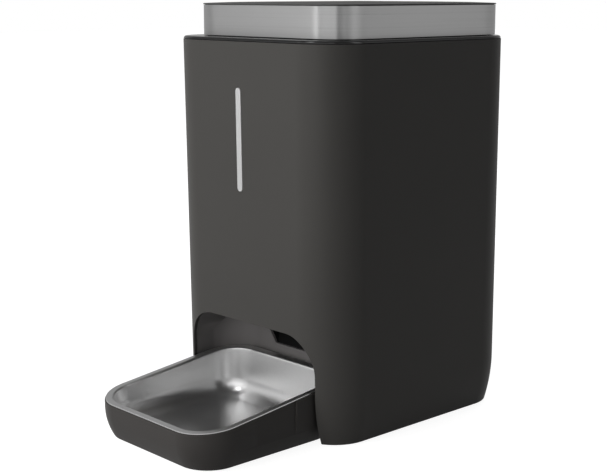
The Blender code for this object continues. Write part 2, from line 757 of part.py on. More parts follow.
def chute():
    """The duct from the chamber floor down to the niche, with a sloping floor and open ends."""
    mouth_y = NICHE_WALL_Y + LINER_WALL + GAP
    top = CHAMBER_FLOOR - GAP
    slope_length = math.hypot(CHUTE_BACK_Y - mouth_y, top - OPENING_SILL)
    floor_drop = CHUTE_WALL * slope_length / (CHUTE_BACK_Y - mouth_y)
    body = across(
        "chute",
        [
            (mouth_y, OPENING_SILL - floor_drop),
            (mouth_y, OPENING_TOP + CHUTE_WALL),
            (CHUTE_FRONT_Y - CHUTE_WALL, OPENING_TOP + CHUTE_WALL),
            (CHUTE_FRONT_Y - CHUTE_WALL, top),
            (CHUTE_BACK_Y + CHUTE_WALL, top),
            (CHUTE_BACK_Y + CHUTE_WALL, top - floor_drop),
        ],
        OPENING_HALF_WIDTH + CHUTE_WALL,
        INNER_PLASTIC,
    )
    combine(body, chute_width("chute_outside", CHUTE_WALL), "INTERSECT")
    hollow = across(
        "chute_hollow",
        [
            (mouth_y - OVERRUN, OPENING_SILL),
            (mouth_y - OVERRUN, OPENING_TOP),
            (CHUTE_FRONT_Y, OPENING_TOP),
            (CHUTE_FRONT_Y, top + OVERRUN),
            (CHUTE_BACK_Y, top + OVERRUN),
            (CHUTE_BACK_Y, top),
            (mouth_y, OPENING_SILL),
        ],
        OPENING_HALF_WIDTH,
    )
    combine(hollow, chute_width("chute_inside", 0), "INTERSECT")
    combine(body, hollow, "DIFFERENCE")


# Food tank and dispenser


def hopper():
    """The tank: upright walls that funnel down to a round neck, with a rim under the ring."""
    top = RING_UNDERSIDE - GAP
    rim_bottom = top - HOPPER_RIM_THICKNESS
    neck = CHAMBER_RADIUS - GAP
    neck_top = CHAMBER_TOP + GAP
    inner = lid_section(top, MOUTH_LEDGE - HOPPER_SIDE_CLEARANCE)._replace(radius=HOPPER_CORNER)
    wall = inset(inner, -HOPPER_WALL)
    rim = inset(inner, -HOPPER_RIM)
    rim = rim._replace(back=wall.back)
    sections = [
        round_section(neck_top - NECK_LENGTH, neck),
        round_section(neck_top, neck),
        round_section(neck_top, neck + CHAMBER_WALL),
        wall._replace(z=FUNNEL_TOP),
        wall._replace(z=rim_bottom),
        rim._replace(z=rim_bottom),
        rim,
        inner,
        inner._replace(z=FUNNEL_TOP),
        round_section(neck_top + HOPPER_WALL, neck - HOPPER_WALL),
        round_section(neck_top - NECK_LENGTH, neck - HOPPER_WALL),
    ]
    loft("hopper", sections, TANK, INNER_SEGMENTS, closed=True)


def outlet_sector():
    """The part of the chamber floor through which a portion of food falls."""
    points = []
    sweeps = (
        (OUTLET_OUTER_RADIUS, OUTLET_HALF_ANGLE),
        (OUTLET_INNER_RADIUS, -OUTLET_HALF_ANGLE),
    )
    for radius, half_angle in sweeps:
        for step in range(SMALL_STEPS // 2 + 1):
            turn = -math.pi / 2 - half_angle + 2 * half_angle * step / (SMALL_STEPS // 2)
            points.append((radius * math.cos(turn), ROTOR_Y + radius * math.sin(turn)))
    return points


def post_places():
    reach = DECK_HALF_WIDTH - POST_INSET
    rows = (ROTOR_Y - POST_BEFORE_ROTOR, ROTOR_Y + POST_BEHIND_ROTOR)
    return [(side * reach, y) for y in rows for side in (-1, 1)]


def dispenser_deck():
    """Chamber floor and wall in one moulding, on four posts that take the base screws."""
    outline = rounded_outline(DECK_HALF_WIDTH, DECK_FRONT_Y, DECK_BACK_Y, DECK_CORNER)
    holes = [outlet_sector(), round_outline(BUSH_RADIUS + GAP, 0, ROTOR_Y, SMALL_STEPS)]
    floor_top = CHAMBER_FLOOR + DECK_THICKNESS
    deck = flat("dispenser_deck", [outline] + holes, CHAMBER_FLOOR, floor_top, INNER_PLASTIC)
    circles = [
        round_outline(CHAMBER_RADIUS + CHAMBER_WALL, 0, ROTOR_Y),
        round_outline(CHAMBER_RADIUS, 0, ROTOR_Y),
    ]
    chamber = flat("chamber_wall", circles, CHAMBER_FLOOR + DECK_THICKNESS / 2, CHAMBER_TOP)
    combine(deck, chamber, "UNION")
    pilot_top = BASE_TOP + SCREW_LENGTH + GAP
    for x, y in post_places():
        overlap_top = CHAMBER_FLOOR + DECK_THICKNESS / 2
        post = cylinder("post", POST_RADIUS, BASE_TOP + GAP, overlap_top, x, y, steps=SMALL_STEPS)
        combine(deck, post, "UNION")
        pilot = cylinder("pilot", SCREW_RADIUS + GAP, 0, pilot_top, x, y, steps=SMALL_STEPS)
        combine(deck, pilot, "DIFFERENCE")
    return deck


def outlet_baffle():
    """A plate across the front of the neck, so that food reaches the rotor from behind only."""
    radius = CHAMBER_RADIUS - HOPPER_WALL - 2 * GAP
    neck_steps = 4 * INNER_SEGMENTS
    points = []
    for step in range(-BAFFLE_REACH, BAFFLE_REACH + 1):
        turn = 2 * math.pi * step / neck_steps - math.pi / 2
        points.append((radius * math.cos(turn), ROTOR_Y + radius * math.sin(turn)))
    low = CHAMBER_TOP - NECK_LENGTH + GAP
    flat("outlet_baffle", [points], low, low + BAFFLE_THICKNESS, TANK)


def food_rotor():
    """The food wheel: a hub with a cone that stirs and six upright blades."""
    hub_top = ROTOR_BOTTOM + BLADE_HEIGHT
    tip = hub_top + HUB_CONE_HEIGHT
    bore = SHAFT_RADIUS + GAP
    rotor = turned(
        "food_rotor",
        [
            (0, tip),
            (HUB_TIP_RADIUS, tip),
            (HUB_RADIUS, hub_top),
            (HUB_RADIUS, ROTOR_BOTTOM),
            (bore, ROTOR_BOTTOM),
            (bore, ROTOR_BOTTOM + SHAFT_IN_HUB),
            (0, ROTOR_BOTTOM + SHAFT_IN_HUB),
        ],
        ROTOR_RUBBER,
    )
    rotor.location = (0, ROTOR_Y, 0)
    blade_length = CHAMBER_RADIUS - ROTOR_CLEARANCE
    blade_start = (bore + HUB_RADIUS) / 2
    for index in range(BLADE_COUNT):
        low = (blade_start, -BLADE_THICKNESS / 2, ROTOR_BOTTOM)
        high = (blade_length, BLADE_THICKNESS / 2, ROTOR_BOTTOM + BLADE_HEIGHT - GAP)
        blade = box("blade", low, high, parent=rotor)
        blade.rotation_euler.z = 2 * math.pi * index / BLADE_COUNT
        combine(rotor, blade, "UNION")


def rotor_shaft():
    """A steel shaft from the bracket up through gear, bush and floor into the hub."""
    top = ROTOR_BOTTOM + SHAFT_IN_HUB - GAP
    cylinder("rotor_shaft", SHAFT_RADIUS, BRACKET_BOTTOM, top, 0, ROTOR_Y, PLATED_STEEL, SMALL_STEPS)


def shaft_bush():
    """The flanged bush in the chamber floor in which the shaft turns."""
    bore = SHAFT_RADIUS + RUNNING_GAP
    flange_top = CHAMBER_FLOOR - GAP
    bush = turned(
        "shaft_bush",
        [
            (BUSH_RADIUS, CHAMBER_FLOOR + DECK_THICKNESS),
            (BUSH_RADIUS, flange_top),
            (BUSH_FLANGE_RADIUS, flange_top),
            (BUSH_FLANGE_RADIUS, flange_top - BUSH_FLANGE),
            (bore, flange_top - BUSH_FLANGE),
            (bore, CHAMBER_FLOOR + DECK_THICKNESS),
        ],
        ACETAL,
        SMALL_STEPS,
        ring=True,
    )
    bush.location = (0, ROTOR_Y, 0)


# Drive


def gear_outline(teeth, phase):
    """Teeth with straight flanks about the origin, the first one centred on the phase angle."""
    pitch_radius = GEAR_MODULE * teeth / 2
    tooth = math.pi * GEAR_MODULE / 2 - TOOTH_BACKLASH
    root_share, tip_share = 1.3, 0.52
    root_radius = pitch_radius - 1.25 * GEAR_MODULE
    tip_radius = pitch_radius + 0.85 * GEAR_MODULE
    points = []
    for index in range(teeth):
        centre = phase + 2 * math.pi * index / teeth
        corners = (
            (root_radius, -tooth * root_share / 2),
            (tip_radius, -tooth * tip_share / 2),
            (tip_radius, tooth * tip_share / 2),
            (root_radius, tooth * root_share / 2),
        )
        for radius, side in corners:
            turn = centre + side / radius
            points.append((radius * math.cos(turn), radius * math.sin(turn)))
    return points


def drive_gear():
    outlines = [gear_outline(GEAR_TEETH, math.pi / 2), round_outline(SHAFT_RADIUS + GAP, steps=SMALL_STEPS)]
    gear = flat("drive_gear", outlines, GEAR_BOTTOM, GEAR_TOP, ACETAL)
    gear.location = (0, ROTOR_Y, 0)


def motor_pinion():
    """The pinion with the stem that enters the motor. A gap between its teeth faces the gear."""
    phase = -math.pi / 2 + math.pi / PINION_TEETH
    pinion = flat("motor_pinion", [gear_outline(PINION_TEETH, phase)], GEAR_BOTTOM, GEAR_TOP, ACETAL)
    pinion.location = (0, MOTOR_Y, 0)
    stem_low = BRACKET_BOTTOM - GEARBOX_HEIGHT / 2
    stem_high = (GEAR_BOTTOM + GEAR_TOP) / 2
    stem = cylinder("pinion_stem", PINION_STEM_RADIUS, stem_low, stem_high, steps=SMALL_STEPS)
    stem.parent = pinion
    combine(pinion, stem, "UNION")


def gear_motor():
    """The motor: a square gearbox under the bracket with the round motor below it."""
    top = BRACKET_BOTTOM - GAP
    motor = box(
        "gear_motor",
        (-GEARBOX_HALF_WIDTH, MOTOR_Y - GEARBOX_HALF_WIDTH, top - GEARBOX_HEIGHT),
        (GEARBOX_HALF_WIDTH, MOTOR_Y + GEARBOX_HALF_WIDTH, top),
        PLATED_STEEL,
    )
    can_low = top - GEARBOX_HEIGHT - MOTOR_LENGTH
    can = cylinder("motor_can", MOTOR_RADIUS, can_low, top - GEARBOX_HEIGHT / 2, 0, MOTOR_Y)
    combine(motor, can, "UNION")
    bore_low = top - GEARBOX_HEIGHT / 2 - GAP
    bore = cylinder(
        "motor_bore", PINION_STEM_RADIUS + RUNNING_GAP, bore_low, top + OVERRUN, 0, MOTOR_Y, steps=SMALL_STEPS
    )
    combine(motor, bore, "DIFFERENCE")


def motor_bracket():
    """The plate that carries the motor, hung from the chamber floor on four standoffs."""
    low_y = ROTOR_Y - BRACKET_MARGIN
    high_y = MOTOR_Y + BRACKET_MARGIN + STANDOFF_RADIUS
    outline = rounded_outline(BRACKET_HALF_WIDTH, low_y, high_y, STANDOFF_RADIUS)
    holes = [
        round_outline(SHAFT_RADIUS + RUNNING_GAP, 0, ROTOR_Y, SMALL_STEPS),
        round_outline(PINION_STEM_RADIUS + GAP, 0, MOTOR_Y, SMALL_STEPS),
    ]
    bracket = flat("motor_bracket", [outline] + holes, BRACKET_BOTTOM, BRACKET_TOP, PLATED_STEEL)
    reach = BRACKET_HALF_WIDTH - STANDOFF_RADIUS
    for y in (low_y + STANDOFF_RADIUS, high_y - STANDOFF_RADIUS):
        for side in (-1, 1):
            middle = (BRACKET_BOTTOM + BRACKET_TOP) / 2
            top = CHAMBER_FLOOR - GAP
            leg = cylinder("standoff", STANDOFF_RADIUS - GAP, middle, top, side * reach, y, steps=SMALL_STEPS)
            combine(bracket, leg, "UNION")


# Lid


def lid_band():
    """The stainless sleeve round the lid."""
    sections = [
        lid_section(BAND_BOTTOM),
        lid_section(BAND_TOP),
        lid_section(BAND_TOP, BAND_WALL),
        lid_section(BAND_BOTTOM, BAND_WALL),
    ]
    loft("lid_band", sections, BRUSHED_STEEL, closed=True)


def lid_cap():
    """The top of the lid: a low crown with a rounded edge just proud of the sleeve."""
    plug = BAND_WALL + GAP
    edge_bottom = BAND_TOP + GAP
    edge_top = edge_bottom + CAP_EDGE
    sections = [
        lid_section(edge_bottom, plug + CAP_WALL),
        lid_section(BAND_TOP - CAP_WALL, plug + CAP_WALL),
        lid_section(BAND_TOP - CAP_WALL, plug),
        lid_section(edge_bottom, plug),
        lid_section(edge_bottom, -CAP_OVERHANG),
    ]
    round_off = CAP_EDGE * 2 / 3
    for rise, run in quarter_arc(3):
        z = edge_top - round_off + round_off * rise
        sections.append(lid_section(z, round_off * run - CAP_OVERHANG))
    crown_shares = ((0.18, 0.5), (0.4, 0.8), (0.7, 1.0))
    for reach_share, height_share in crown_shares:
        amount = LID_HALF_WIDTH * reach_share
        crown = lid_section(edge_top + CAP_CROWN * height_share, amount)
        sections.append(crown._replace(radius=max(crown.radius, SMALLEST_RADIUS * 2)))
    loft("lid_cap", sections, CAP_GREY)


def skirt_section(z, amount=0.0):
    """The outside of the skirt, which enters the tank mouth with clearance."""
    return lid_section(z, MOUTH_LEDGE + SKIRT_CLEARANCE + amount)


def lid_liner():
    """The pan inside the sleeve, with the skirt below it that centres the lid in the mouth."""
    outer = BAND_WALL + GAP
    inner = outer + PAN_WALL
    flange_bottom = RING_TOP + GAP
    skirt_bottom = RING_TOP - SKIRT_DEPTH
    sections = [
        lid_section(PAN_CEILING, inner),
        lid_section(flange_bottom + PAN_WALL, inner),
        skirt_section(flange_bottom + PAN_WALL, PAN_WALL),
        skirt_section(skirt_bottom, PAN_WALL),
        skirt_section(skirt_bottom),
        skirt_section(flange_bottom),
        lid_section(flange_bottom, outer),
        lid_section(PAN_TOP, outer),
    ]
    loft("lid_liner", sections, INNER_PLASTIC, INNER_SEGMENTS)


def lid_seal():
    """The gasket round the skirt, with a lip that reaches out to the mouth."""
    high = RING_TOP - GAP
    low = high - SEAL_HEIGHT
    body = SKIRT_CLEARANCE / 2
    sections = [
        skirt_section(low, -GAP),
        skirt_section(low, -body),
        skirt_section(high - body, GAP - SKIRT_CLEARANCE),
        skirt_section(high, GAP - SKIRT_CLEARANCE),
        skirt_section(high, -GAP),
    ]
    loft("lid_seal", sections, SILICONE, INNER_SEGMENTS, closed=True)


def cup_section(z, amount=0.0):
    middle = (LID_BACK - LID_FRONT) / 2
    section = Section(z, CUP_HALF_WIDTH, middle - CUP_HALF_DEPTH, middle + CUP_HALF_DEPTH, CUP_CORNER)
    return inset(section, amount)


def desiccant_box():
    """A cup that hangs open side down from the ceiling of the lid."""
    top = PAN_CEILING - GAP
    low = top - CUP_HEIGHT
    sections = [
        cup_section(top - CUP_WALL, CUP_WALL),
        cup_section(low, CUP_WALL),
        cup_section(low),
        cup_section(top),
    ]
    loft("desiccant_box", sections, INNER_PLASTIC, INNER_SEGMENTS)


def desiccant_grille():
    """The slotted cover that keeps the desiccant in its cup."""
    low = PAN_CEILING - 2 * GAP - CUP_HEIGHT - GRILLE_THICKNESS
    edge = cup_section(low)
    outlines = [outline_points(edge, INNER_SEGMENTS)]
    middle = (edge.front + edge.back) / 2
    half_length = CUP_HALF_DEPTH - GRILLE_MARGIN
    for index in range(GRILLE_SLOTS):
        x = (index - (GRILLE_SLOTS - 1) / 2) * GRILLE_PITCH
        outlines.append(stadium_outline(GRILLE_SLOT / 2, half_length, x, middle))
    flat("desiccant_grille", outlines, low, low + GRILLE_THICKNESS, INNER_PLASTIC)


# Base


def base_plate():
    """The bottom cover, notched round the niche, with the battery bay and the screw holes."""
    sections = [tower_section(BASE_BOTTOM, SHELL_WALL + GAP)]
    sections.append(sections[0]._replace(z=BASE_TOP))
    plate = loft("base_plate", sections, CHARCOAL, INNER_SEGMENTS)
    notch = niche_plan("niche_notch", LINER_WALL + GAP, BASE_BOTTOM - OVERRUN, BASE_TOP + OVERRUN)
    combine(plate, notch, "DIFFERENCE")

    bay_top = door_seat() + BAY_HEIGHT
    bay = box(
        "bay_walls",
        (-BAY_HALF_WIDTH - BAY_WALL, BAY_FRONT_Y - BAY_WALL, (BASE_BOTTOM + BASE_TOP) / 2),
        (BAY_HALF_WIDTH + BAY_WALL, BAY_BACK_Y + BAY_WALL, bay_top + BAY_WALL),
    )
    combine(plate, bay, "UNION")
    hollow = box(
        "bay_hollow",
        (-BAY_HALF_WIDTH, BAY_FRONT_Y, BASE_BOTTOM - OVERRUN),
        (BAY_HALF_WIDTH, BAY_BACK_Y, bay_top),
    )
    combine(plate, hollow, "DIFFERENCE")
    rebate = flat("door_rebate", [door_outline(GAP)], BASE_BOTTOM - OVERRUN, door_seat())
    combine(plate, rebate, "DIFFERENCE")

    for x, y in post_places():
        hole = cylinder(
            "screw_hole",
            SCREW_RADIUS + GAP,
            BASE_BOTTOM - OVERRUN,
            BASE_TOP + OVERRUN,
            x,
            y,
            steps=SMALL_STEPS,
        )
        combine(plate, hole, "DIFFERENCE")
        sink = cylinder(
            "screw_sink",
            SCREW_HEAD_RADIUS + GAP,
            BASE_BOTTOM - OVERRUN,
            BASE_BOTTOM + SCREW_HEAD + GAP,
            x,
            y,
            steps=SMALL_STEPS,
        )
        combine(plate, sink, "DIFFERENCE")


def door_seat():
    return BASE_BOTTOM + DOOR_THICKNESS + GAP


def door_outline(margin):
    return rounded_outline(
        BAY_HALF_WIDTH + DOOR_LAP + margin,
        BAY_FRONT_Y - DOOR_LAP - margin,
        BAY_BACK_Y + DOOR_LAP + margin,
        DOOR_LAP,
        ARC_STEPS,
    )


def battery_door():
    """The cover of the battery bay, flush with the plate, with a notch for a fingertip."""
    door = flat("battery_door", [door_outline(0)], BASE_BOTTOM, BASE_BOTTOM + DOOR_THICKNESS, CHARCOAL)
    depth = DOOR_THICKNESS / 2
    notch = cylinder(
        "finger_notch", DOOR_NOTCH, BASE_BOTTOM - OVERRUN, BASE_BOTTOM + depth, 0, BAY_FRONT_Y + DOOR_NOTCH
    )
    combine(door, notch, "DIFFERENCE")


def feet_and_screws():
    """Four rubber feet under the plate and four screws up into the posts of the deck."""
    reach = TOWER_HALF_WIDTH - FOOT_PAD_SIDE_INSET
    rows = (NICHE_WALL_Y + FOOT_PAD_FRONT_INSET, TOWER_BACK - FOOT_PAD_BACK_INSET)
    corners = [(side * reach, y) for y in rows for side in (-1, 1)]
    for number, (x, y) in enumerate(corners, 1):
        cylinder(f"foot_{number}", FOOT_PAD_RADIUS, 0, BASE_BOTTOM - GAP, x, y, RUBBER, SMALL_STEPS)
    head_top = BASE_BOTTOM + SCREW_HEAD
    for number, (x, y) in enumerate(post_places(), 1):
        tip = BASE_TOP + SCREW_LENGTH - GAP
        screw = turned(
            f"base_screw_{number}",
            [
                (0, tip),
                (SCREW_RADIUS / 2, tip),
                (SCREW_RADIUS, tip - SCREW_RADIUS),
                (SCREW_RADIUS, head_top),
                (SCREW_HEAD_RADIUS, head_top),
                (SCREW_HEAD_RADIUS, BASE_BOTTOM + GAP),
                (0, BASE_BOTTOM + GAP),
            ],
            PLATED_STEEL,
            SMALL_STEPS // 2,
        )
        screw.location = (x, y, 0)


# Electrics at the rear


def board_face_y():
    return BAY_BACK_Y + BAY_WALL + BOARD_BEHIND_BAY + BOARD_THICKNESS


def main_board():
    """The control board, standing on the base plate, with its chips and the button's switch."""
    face = board_face_y()
    low = BASE_TOP + GAP
    board = box(
        "main_board",
        (-BOARD_HALF_WIDTH, face - BOARD_THICKNESS, low),
        (BOARD_HALF_WIDTH, face, low + BOARD_HEIGHT),
        BOARD_GREEN,
    )
    sunk = BOARD_THICKNESS / 2
    switch = box(
        "switch",
        (BUTTON_X - SWITCH_SIZE / 2, face - sunk, REAR_FITTINGS_HEIGHT - SWITCH_SIZE / 2),
        (BUTTON_X + SWITCH_SIZE / 2, face + SWITCH_HEIGHT, REAR_FITTINGS_HEIGHT + SWITCH_SIZE / 2),
    )
    combine(board, switch, "UNION")
    places = ((-1 / 2, 1 / 3), (1 / 3, 1 / 3), (1 / 3, 3 / 4))
    for across_share, up_share in places:
        x = BOARD_HALF_WIDTH * across_share
        z = low + BOARD_HEIGHT * up_share
        chip = box(
            "chip",
            (x - CHIP_SIZE / 2, face - sunk, z - CHIP_SIZE / 2),
            (x + CHIP_SIZE / 2, face + CHIP_HEIGHT, z + CHIP_SIZE / 2),
        )
        combine(board, chip, "UNION")


def rear_wall_y():
    return tower_section(REAR_FITTINGS_HEIGHT).back


def face_rear(piece, x):
    """Turns a piece made along +Z so that its top faces out of the rear wall."""
    piece.location = (x, rear_wall_y(), REAR_FITTINGS_HEIGHT)
    piece.rotation_euler.x = -math.pi / 2


def dc_inlet():
    """A panel socket: flange in a recess of the wall, nut inside, and a centre pin in the bore."""
    inner_wall = -SHELL_WALL - GAP
    inlet = turned(
        "dc_inlet",
        [
            (0, -SOCKET_PIN_RADIUS),
            (SOCKET_PIN_RADIUS, -SOCKET_PIN_RADIUS),
            (SOCKET_PIN_RADIUS, -SOCKET_DEPTH),
            (SOCKET_RADIUS, -SOCKET_DEPTH),
            (SOCKET_RADIUS, 0),
            (INLET_FLANGE_RADIUS, 0),
            (INLET_FLANGE_RADIUS, -INLET_FLANGE),
            (INLET_BARREL_RADIUS, -INLET_FLANGE),
            (INLET_BARREL_RADIUS, inner_wall),
            (INLET_NUT_RADIUS, inner_wall),
            (INLET_NUT_RADIUS, inner_wall - INLET_NUT),
            (INLET_BARREL_RADIUS, inner_wall - INLET_NUT),
            (INLET_BARREL_RADIUS, -INLET_LENGTH),
            (0, -INLET_LENGTH),
        ],
        RUBBER,
        SMALL_STEPS,
    )
    face_rear(inlet, INLET_X)


def pairing_button():
    """The button: a plunger through the rear wall to the switch, held in by its flange."""
    flange_top = -SHELL_WALL - GAP
    stem_end = board_face_y() + SWITCH_HEIGHT + BUTTON_TRAVEL + GAP - rear_wall_y()
    button = turned(
        "pairing_button",
        [
            (0, -BUTTON_RECESS),
            (BUTTON_RADIUS, -BUTTON_RECESS),
            (BUTTON_RADIUS, flange_top),
            (BUTTON_FLANGE_RADIUS, flange_top),
            (BUTTON_FLANGE_RADIUS, flange_top - BUTTON_FLANGE),
            (BUTTON_RADIUS / 2, flange_top - BUTTON_FLANGE),
            (BUTTON_RADIUS / 2, stem_end),
            (0, stem_end),
        ],
        RUBBER,
        SMALL_STEPS,
    )
    face_rear(button, BUTTON_X)


# Tray and bowl


def grip_outline(side):
    """A finger grip seen from above: a ramp down from the front and a step at the back."""
    front = TRAY_FRONT + GRIP_SETBACK
    back = front + GRIP_LENGTH
    beyond = front - GRIP_RAMP * OVERRUN / GRIP_DEPTH
    return [
        (side * (TRAY_HALF_WIDTH - GRIP_DEPTH), back),
        (side * (TRAY_HALF_WIDTH - GRIP_DEPTH), front + GRIP_RAMP),
        (side * (TRAY_HALF_WIDTH + OVERRUN), beyond),
        (side * (TRAY_HALF_WIDTH + OVERRUN), back),
    ]


def tray():
    """The bowl holder: walls that curve in to the floor, a tilted rim and two shallow grips."""
    tuck_shares = (0.25, 0.5, 0.75, 1.0)
    low = TRAY_CLEARANCE
    levels = [low + TRAY_EDGE + share * (TRAY_TUCK_HEIGHT - low - TRAY_EDGE) for share in tuck_shares]
    outside = []
    for rise, run in quarter_arc(3):
        outside.append(tray_section(low + TRAY_EDGE * run, TRAY_EDGE * (1 - rise)))
    outside += [tray_section(z) for z in levels]
    floor_top = low + TRAY_FLOOR
    inside = [tray_section(z, TRAY_WALL) for z in reversed(levels)]
    inside.append(tray_section(floor_top, TRAY_WALL))
    rim = [tray_rim(), tray_rim(amount=TRAY_WALL)]
    holder = loft("tray", outside + rim + inside, CHARCOAL)

    top = TRAY_RIM_FRONT + TRAY_LENGTH * TRAY_RIM_RISE_SHARE
    for side in (-1, 1):
        grip = flat("grip", [grip_outline(side)], low - OVERRUN, top + OVERRUN)
        combine(holder, grip, "DIFFERENCE")

    pads = (
        ("tray_pad_front", TRAY_FRONT + PAD_INSET),
        ("tray_pad_back", TRAY_BACK - PAD_INSET),
    )
    for name, y in pads:
        flat(name, [pad_outline(y, 0)], 0, PAD_THICKNESS, RUBBER)
        pocket = flat("pad_pocket", [pad_outline(y, GAP)], low - OVERRUN, PAD_THICKNESS + GAP)
        combine(holder, pocket, "DIFFERENCE")


def pad_outline(y, margin):
    """The round-ended strip that a tray pad is, grown by a margin."""
    half_width = PAD_HALF_WIDTH + margin
    return rounded_outline(PAD_HALF_LENGTH + margin, y - half_width, y + half_width, half_width)


def steel_bowl():
    """The pressed dish: a flat flange on the tray's rim, upright walls and a wide floor sweep."""
    flange_in = BOWL_FLANGE_INSET + BOWL_FLANGE
    floor = TRAY_CLEARANCE + TRAY_FLOOR + BOWL_FLOOR_GAP
    base = tray_section(TRAY_TUCK_HEIGHT)

    def dish(offset):
        """One skin from the floor up to the top of the sweep, thicker outwards by the offset."""
        sweep = BOWL_SWEEP + offset
        wall = flange_in + BOWL_DRAFT - offset
        levels = []
        for rise, run in quarter_arc(5):
            z = floor + BOWL_WALL - offset + sweep * run
            level = inset(base, wall + sweep * (1 - rise), z)
            levels.append(level._replace(radius=max(level.radius, BOWL_CORNER_AT_FLOOR)))
        return levels

    underside = [tray_rim(GAP, flange_in - BOWL_WALL), tray_rim(GAP, BOWL_FLANGE_INSET)]
    topside = [tray_rim(GAP + BOWL_WALL, BOWL_FLANGE_INSET), tray_rim(GAP + BOWL_WALL, flange_in)]
    sections = dish(BOWL_WALL) + underside + topside + dish(0.0)[::-1]
    loft("steel_bowl", sections, BOWL_STEEL)


outer_shell()
light_strip()
shoulder_ring()
niche_liner()
chute()
hopper()
dispenser_deck()
outlet_baffle()
food_rotor()
rotor_shaft()
shaft_bush()
drive_gear()
motor_pinion()
gear_motor()
motor_bracket()
lid_band()
lid_cap()
lid_liner()
lid_seal()
desiccant_box()
desiccant_grille()
base_plate()
battery_door()
feet_and_screws()
main_board()
dc_inlet()
pairing_button()
tray()
steel_bowl()
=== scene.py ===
"""The looks of the smart pet feeder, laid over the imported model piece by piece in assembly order."""

import json
import math
from typing import NamedTuple

import bmesh
import bpy
from mathutils import Matrix, Vector


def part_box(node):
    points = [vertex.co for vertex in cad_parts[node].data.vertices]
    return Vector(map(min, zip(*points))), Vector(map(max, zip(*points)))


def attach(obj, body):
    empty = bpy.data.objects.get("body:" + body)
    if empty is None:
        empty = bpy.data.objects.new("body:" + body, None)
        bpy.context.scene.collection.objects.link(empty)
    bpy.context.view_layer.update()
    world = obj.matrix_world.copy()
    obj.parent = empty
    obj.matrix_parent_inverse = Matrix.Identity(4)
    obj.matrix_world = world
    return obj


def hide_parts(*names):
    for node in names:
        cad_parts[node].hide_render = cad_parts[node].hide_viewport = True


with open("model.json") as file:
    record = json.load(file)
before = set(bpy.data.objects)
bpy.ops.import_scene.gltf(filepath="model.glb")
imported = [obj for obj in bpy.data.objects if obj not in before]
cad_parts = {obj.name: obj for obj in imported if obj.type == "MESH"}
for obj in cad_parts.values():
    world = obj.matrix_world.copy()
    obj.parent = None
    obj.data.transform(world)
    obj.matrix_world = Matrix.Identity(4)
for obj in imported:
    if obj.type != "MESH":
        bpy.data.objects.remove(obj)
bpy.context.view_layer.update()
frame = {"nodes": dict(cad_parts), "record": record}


# Base plate and battery door
# The bottom cover and the door of the battery bay are injection moulded in the charcoal of the
# tower, with a fine spark-eroded grain. The plate is screwed up into the posts of the dispenser.
MERGE_DISTANCE = 0.000005
FLAT_ANGLE = math.radians(1)
SHARP_ANGLE = math.radians(32)
MOULDED_EDGE = 0.00025
CHARCOAL = (0.052, 0.050, 0.047)


def socket(tree, direction, kind, name, value=None):
    """Adds a named socket to a node group."""
    made = tree.interface.new_socket(name=name, in_out=direction, socket_type=kind)
    if value is not None:
        made.default_value = value
    return made


def noise(tree, vector, scale, detail, roughness=0.5):
    """A noise texture in a node tree, read from the given vector."""
    node = tree.nodes.new("ShaderNodeTexNoise")
    node.inputs["Scale"].default_value = scale
    node.inputs["Detail"].default_value = detail
    node.inputs["Roughness"].default_value = roughness
    tree.links.new(vector, node.inputs["Vector"])
    return node


def remap(tree, value, low, high):
    """Takes a value from 0..1 to low..high."""
    node = tree.nodes.new("ShaderNodeMapRange")
    tree.links.new(value, node.inputs["Value"])
    for name, bound in (("To Min", low), ("To Max", high)):
        if isinstance(bound, bpy.types.NodeSocket):
            tree.links.new(bound, node.inputs[name])
        else:
            node.inputs[name].default_value = bound
    return node.outputs["Result"]


def moulded_grain_group():
    """Colour mottling, uneven gloss and a fine eroded grain, as moulded plastic has."""
    tree = bpy.data.node_groups.new("moulded grain", "ShaderNodeTree")
    socket(tree, "INPUT", "NodeSocketColor", "Colour", (0.05, 0.05, 0.05, 1))
    socket(tree, "INPUT", "NodeSocketFloat", "Roughness", 0.45)
    socket(tree, "INPUT", "NodeSocketFloat", "Unevenness", 0.04)
    socket(tree, "OUTPUT", "NodeSocketColor", "Colour")
    socket(tree, "OUTPUT", "NodeSocketFloat", "Roughness")
    socket(tree, "OUTPUT", "NodeSocketFloat", "Height")
    given = tree.nodes.new("NodeGroupInput")
    out = tree.nodes.new("NodeGroupOutput")
    place = tree.nodes.new("ShaderNodeTexCoord").outputs["Object"]

    clouds = noise(tree, place, 14, 3)
    shade = remap(tree, clouds.outputs["Fac"], 0.93, 1.07)
    tint = tree.nodes.new("ShaderNodeVectorMath")
    tint.operation = "SCALE"
    tree.links.new(given.outputs["Colour"], tint.inputs[0])
    tree.links.new(shade, tint.inputs["Scale"])
    tree.links.new(tint.outputs["Vector"], out.inputs["Colour"])

    patches = noise(tree, place, 38, 4)
    wander = tree.nodes.new("ShaderNodeMath")
    wander.operation = "MULTIPLY_ADD"
    centred = remap(tree, patches.outputs["Fac"], -1, 1)
    tree.links.new(centred, wander.inputs[0])
    tree.links.new(given.outputs["Unevenness"], wander.inputs[1])
    tree.links.new(given.outputs["Roughness"], wander.inputs[2])
    tree.links.new(wander.outputs["Value"], out.inputs["Roughness"])

    grain = noise(tree, place, 2600, 2, 0.6)
    tree.links.new(grain.outputs["Fac"], out.inputs["Height"])
    return tree


MOULDED_GRAIN = moulded_grain_group()


def new_material(name, colour, roughness, metallic=0.0, specular=0.5):
    """A Principled material with its plain values set on the shader itself."""
    material = bpy.data.materials.new(name)
    material.use_nodes = True
    shader = material.node_tree.nodes["Principled BSDF"]
    shader.inputs["Base Color"].default_value = (*colour, 1)
    shader.inputs["Roughness"].default_value = roughness
    shader.inputs["Metallic"].default_value = metallic
    shader.inputs["Specular IOR Level"].default_value = specular
    return material, shader


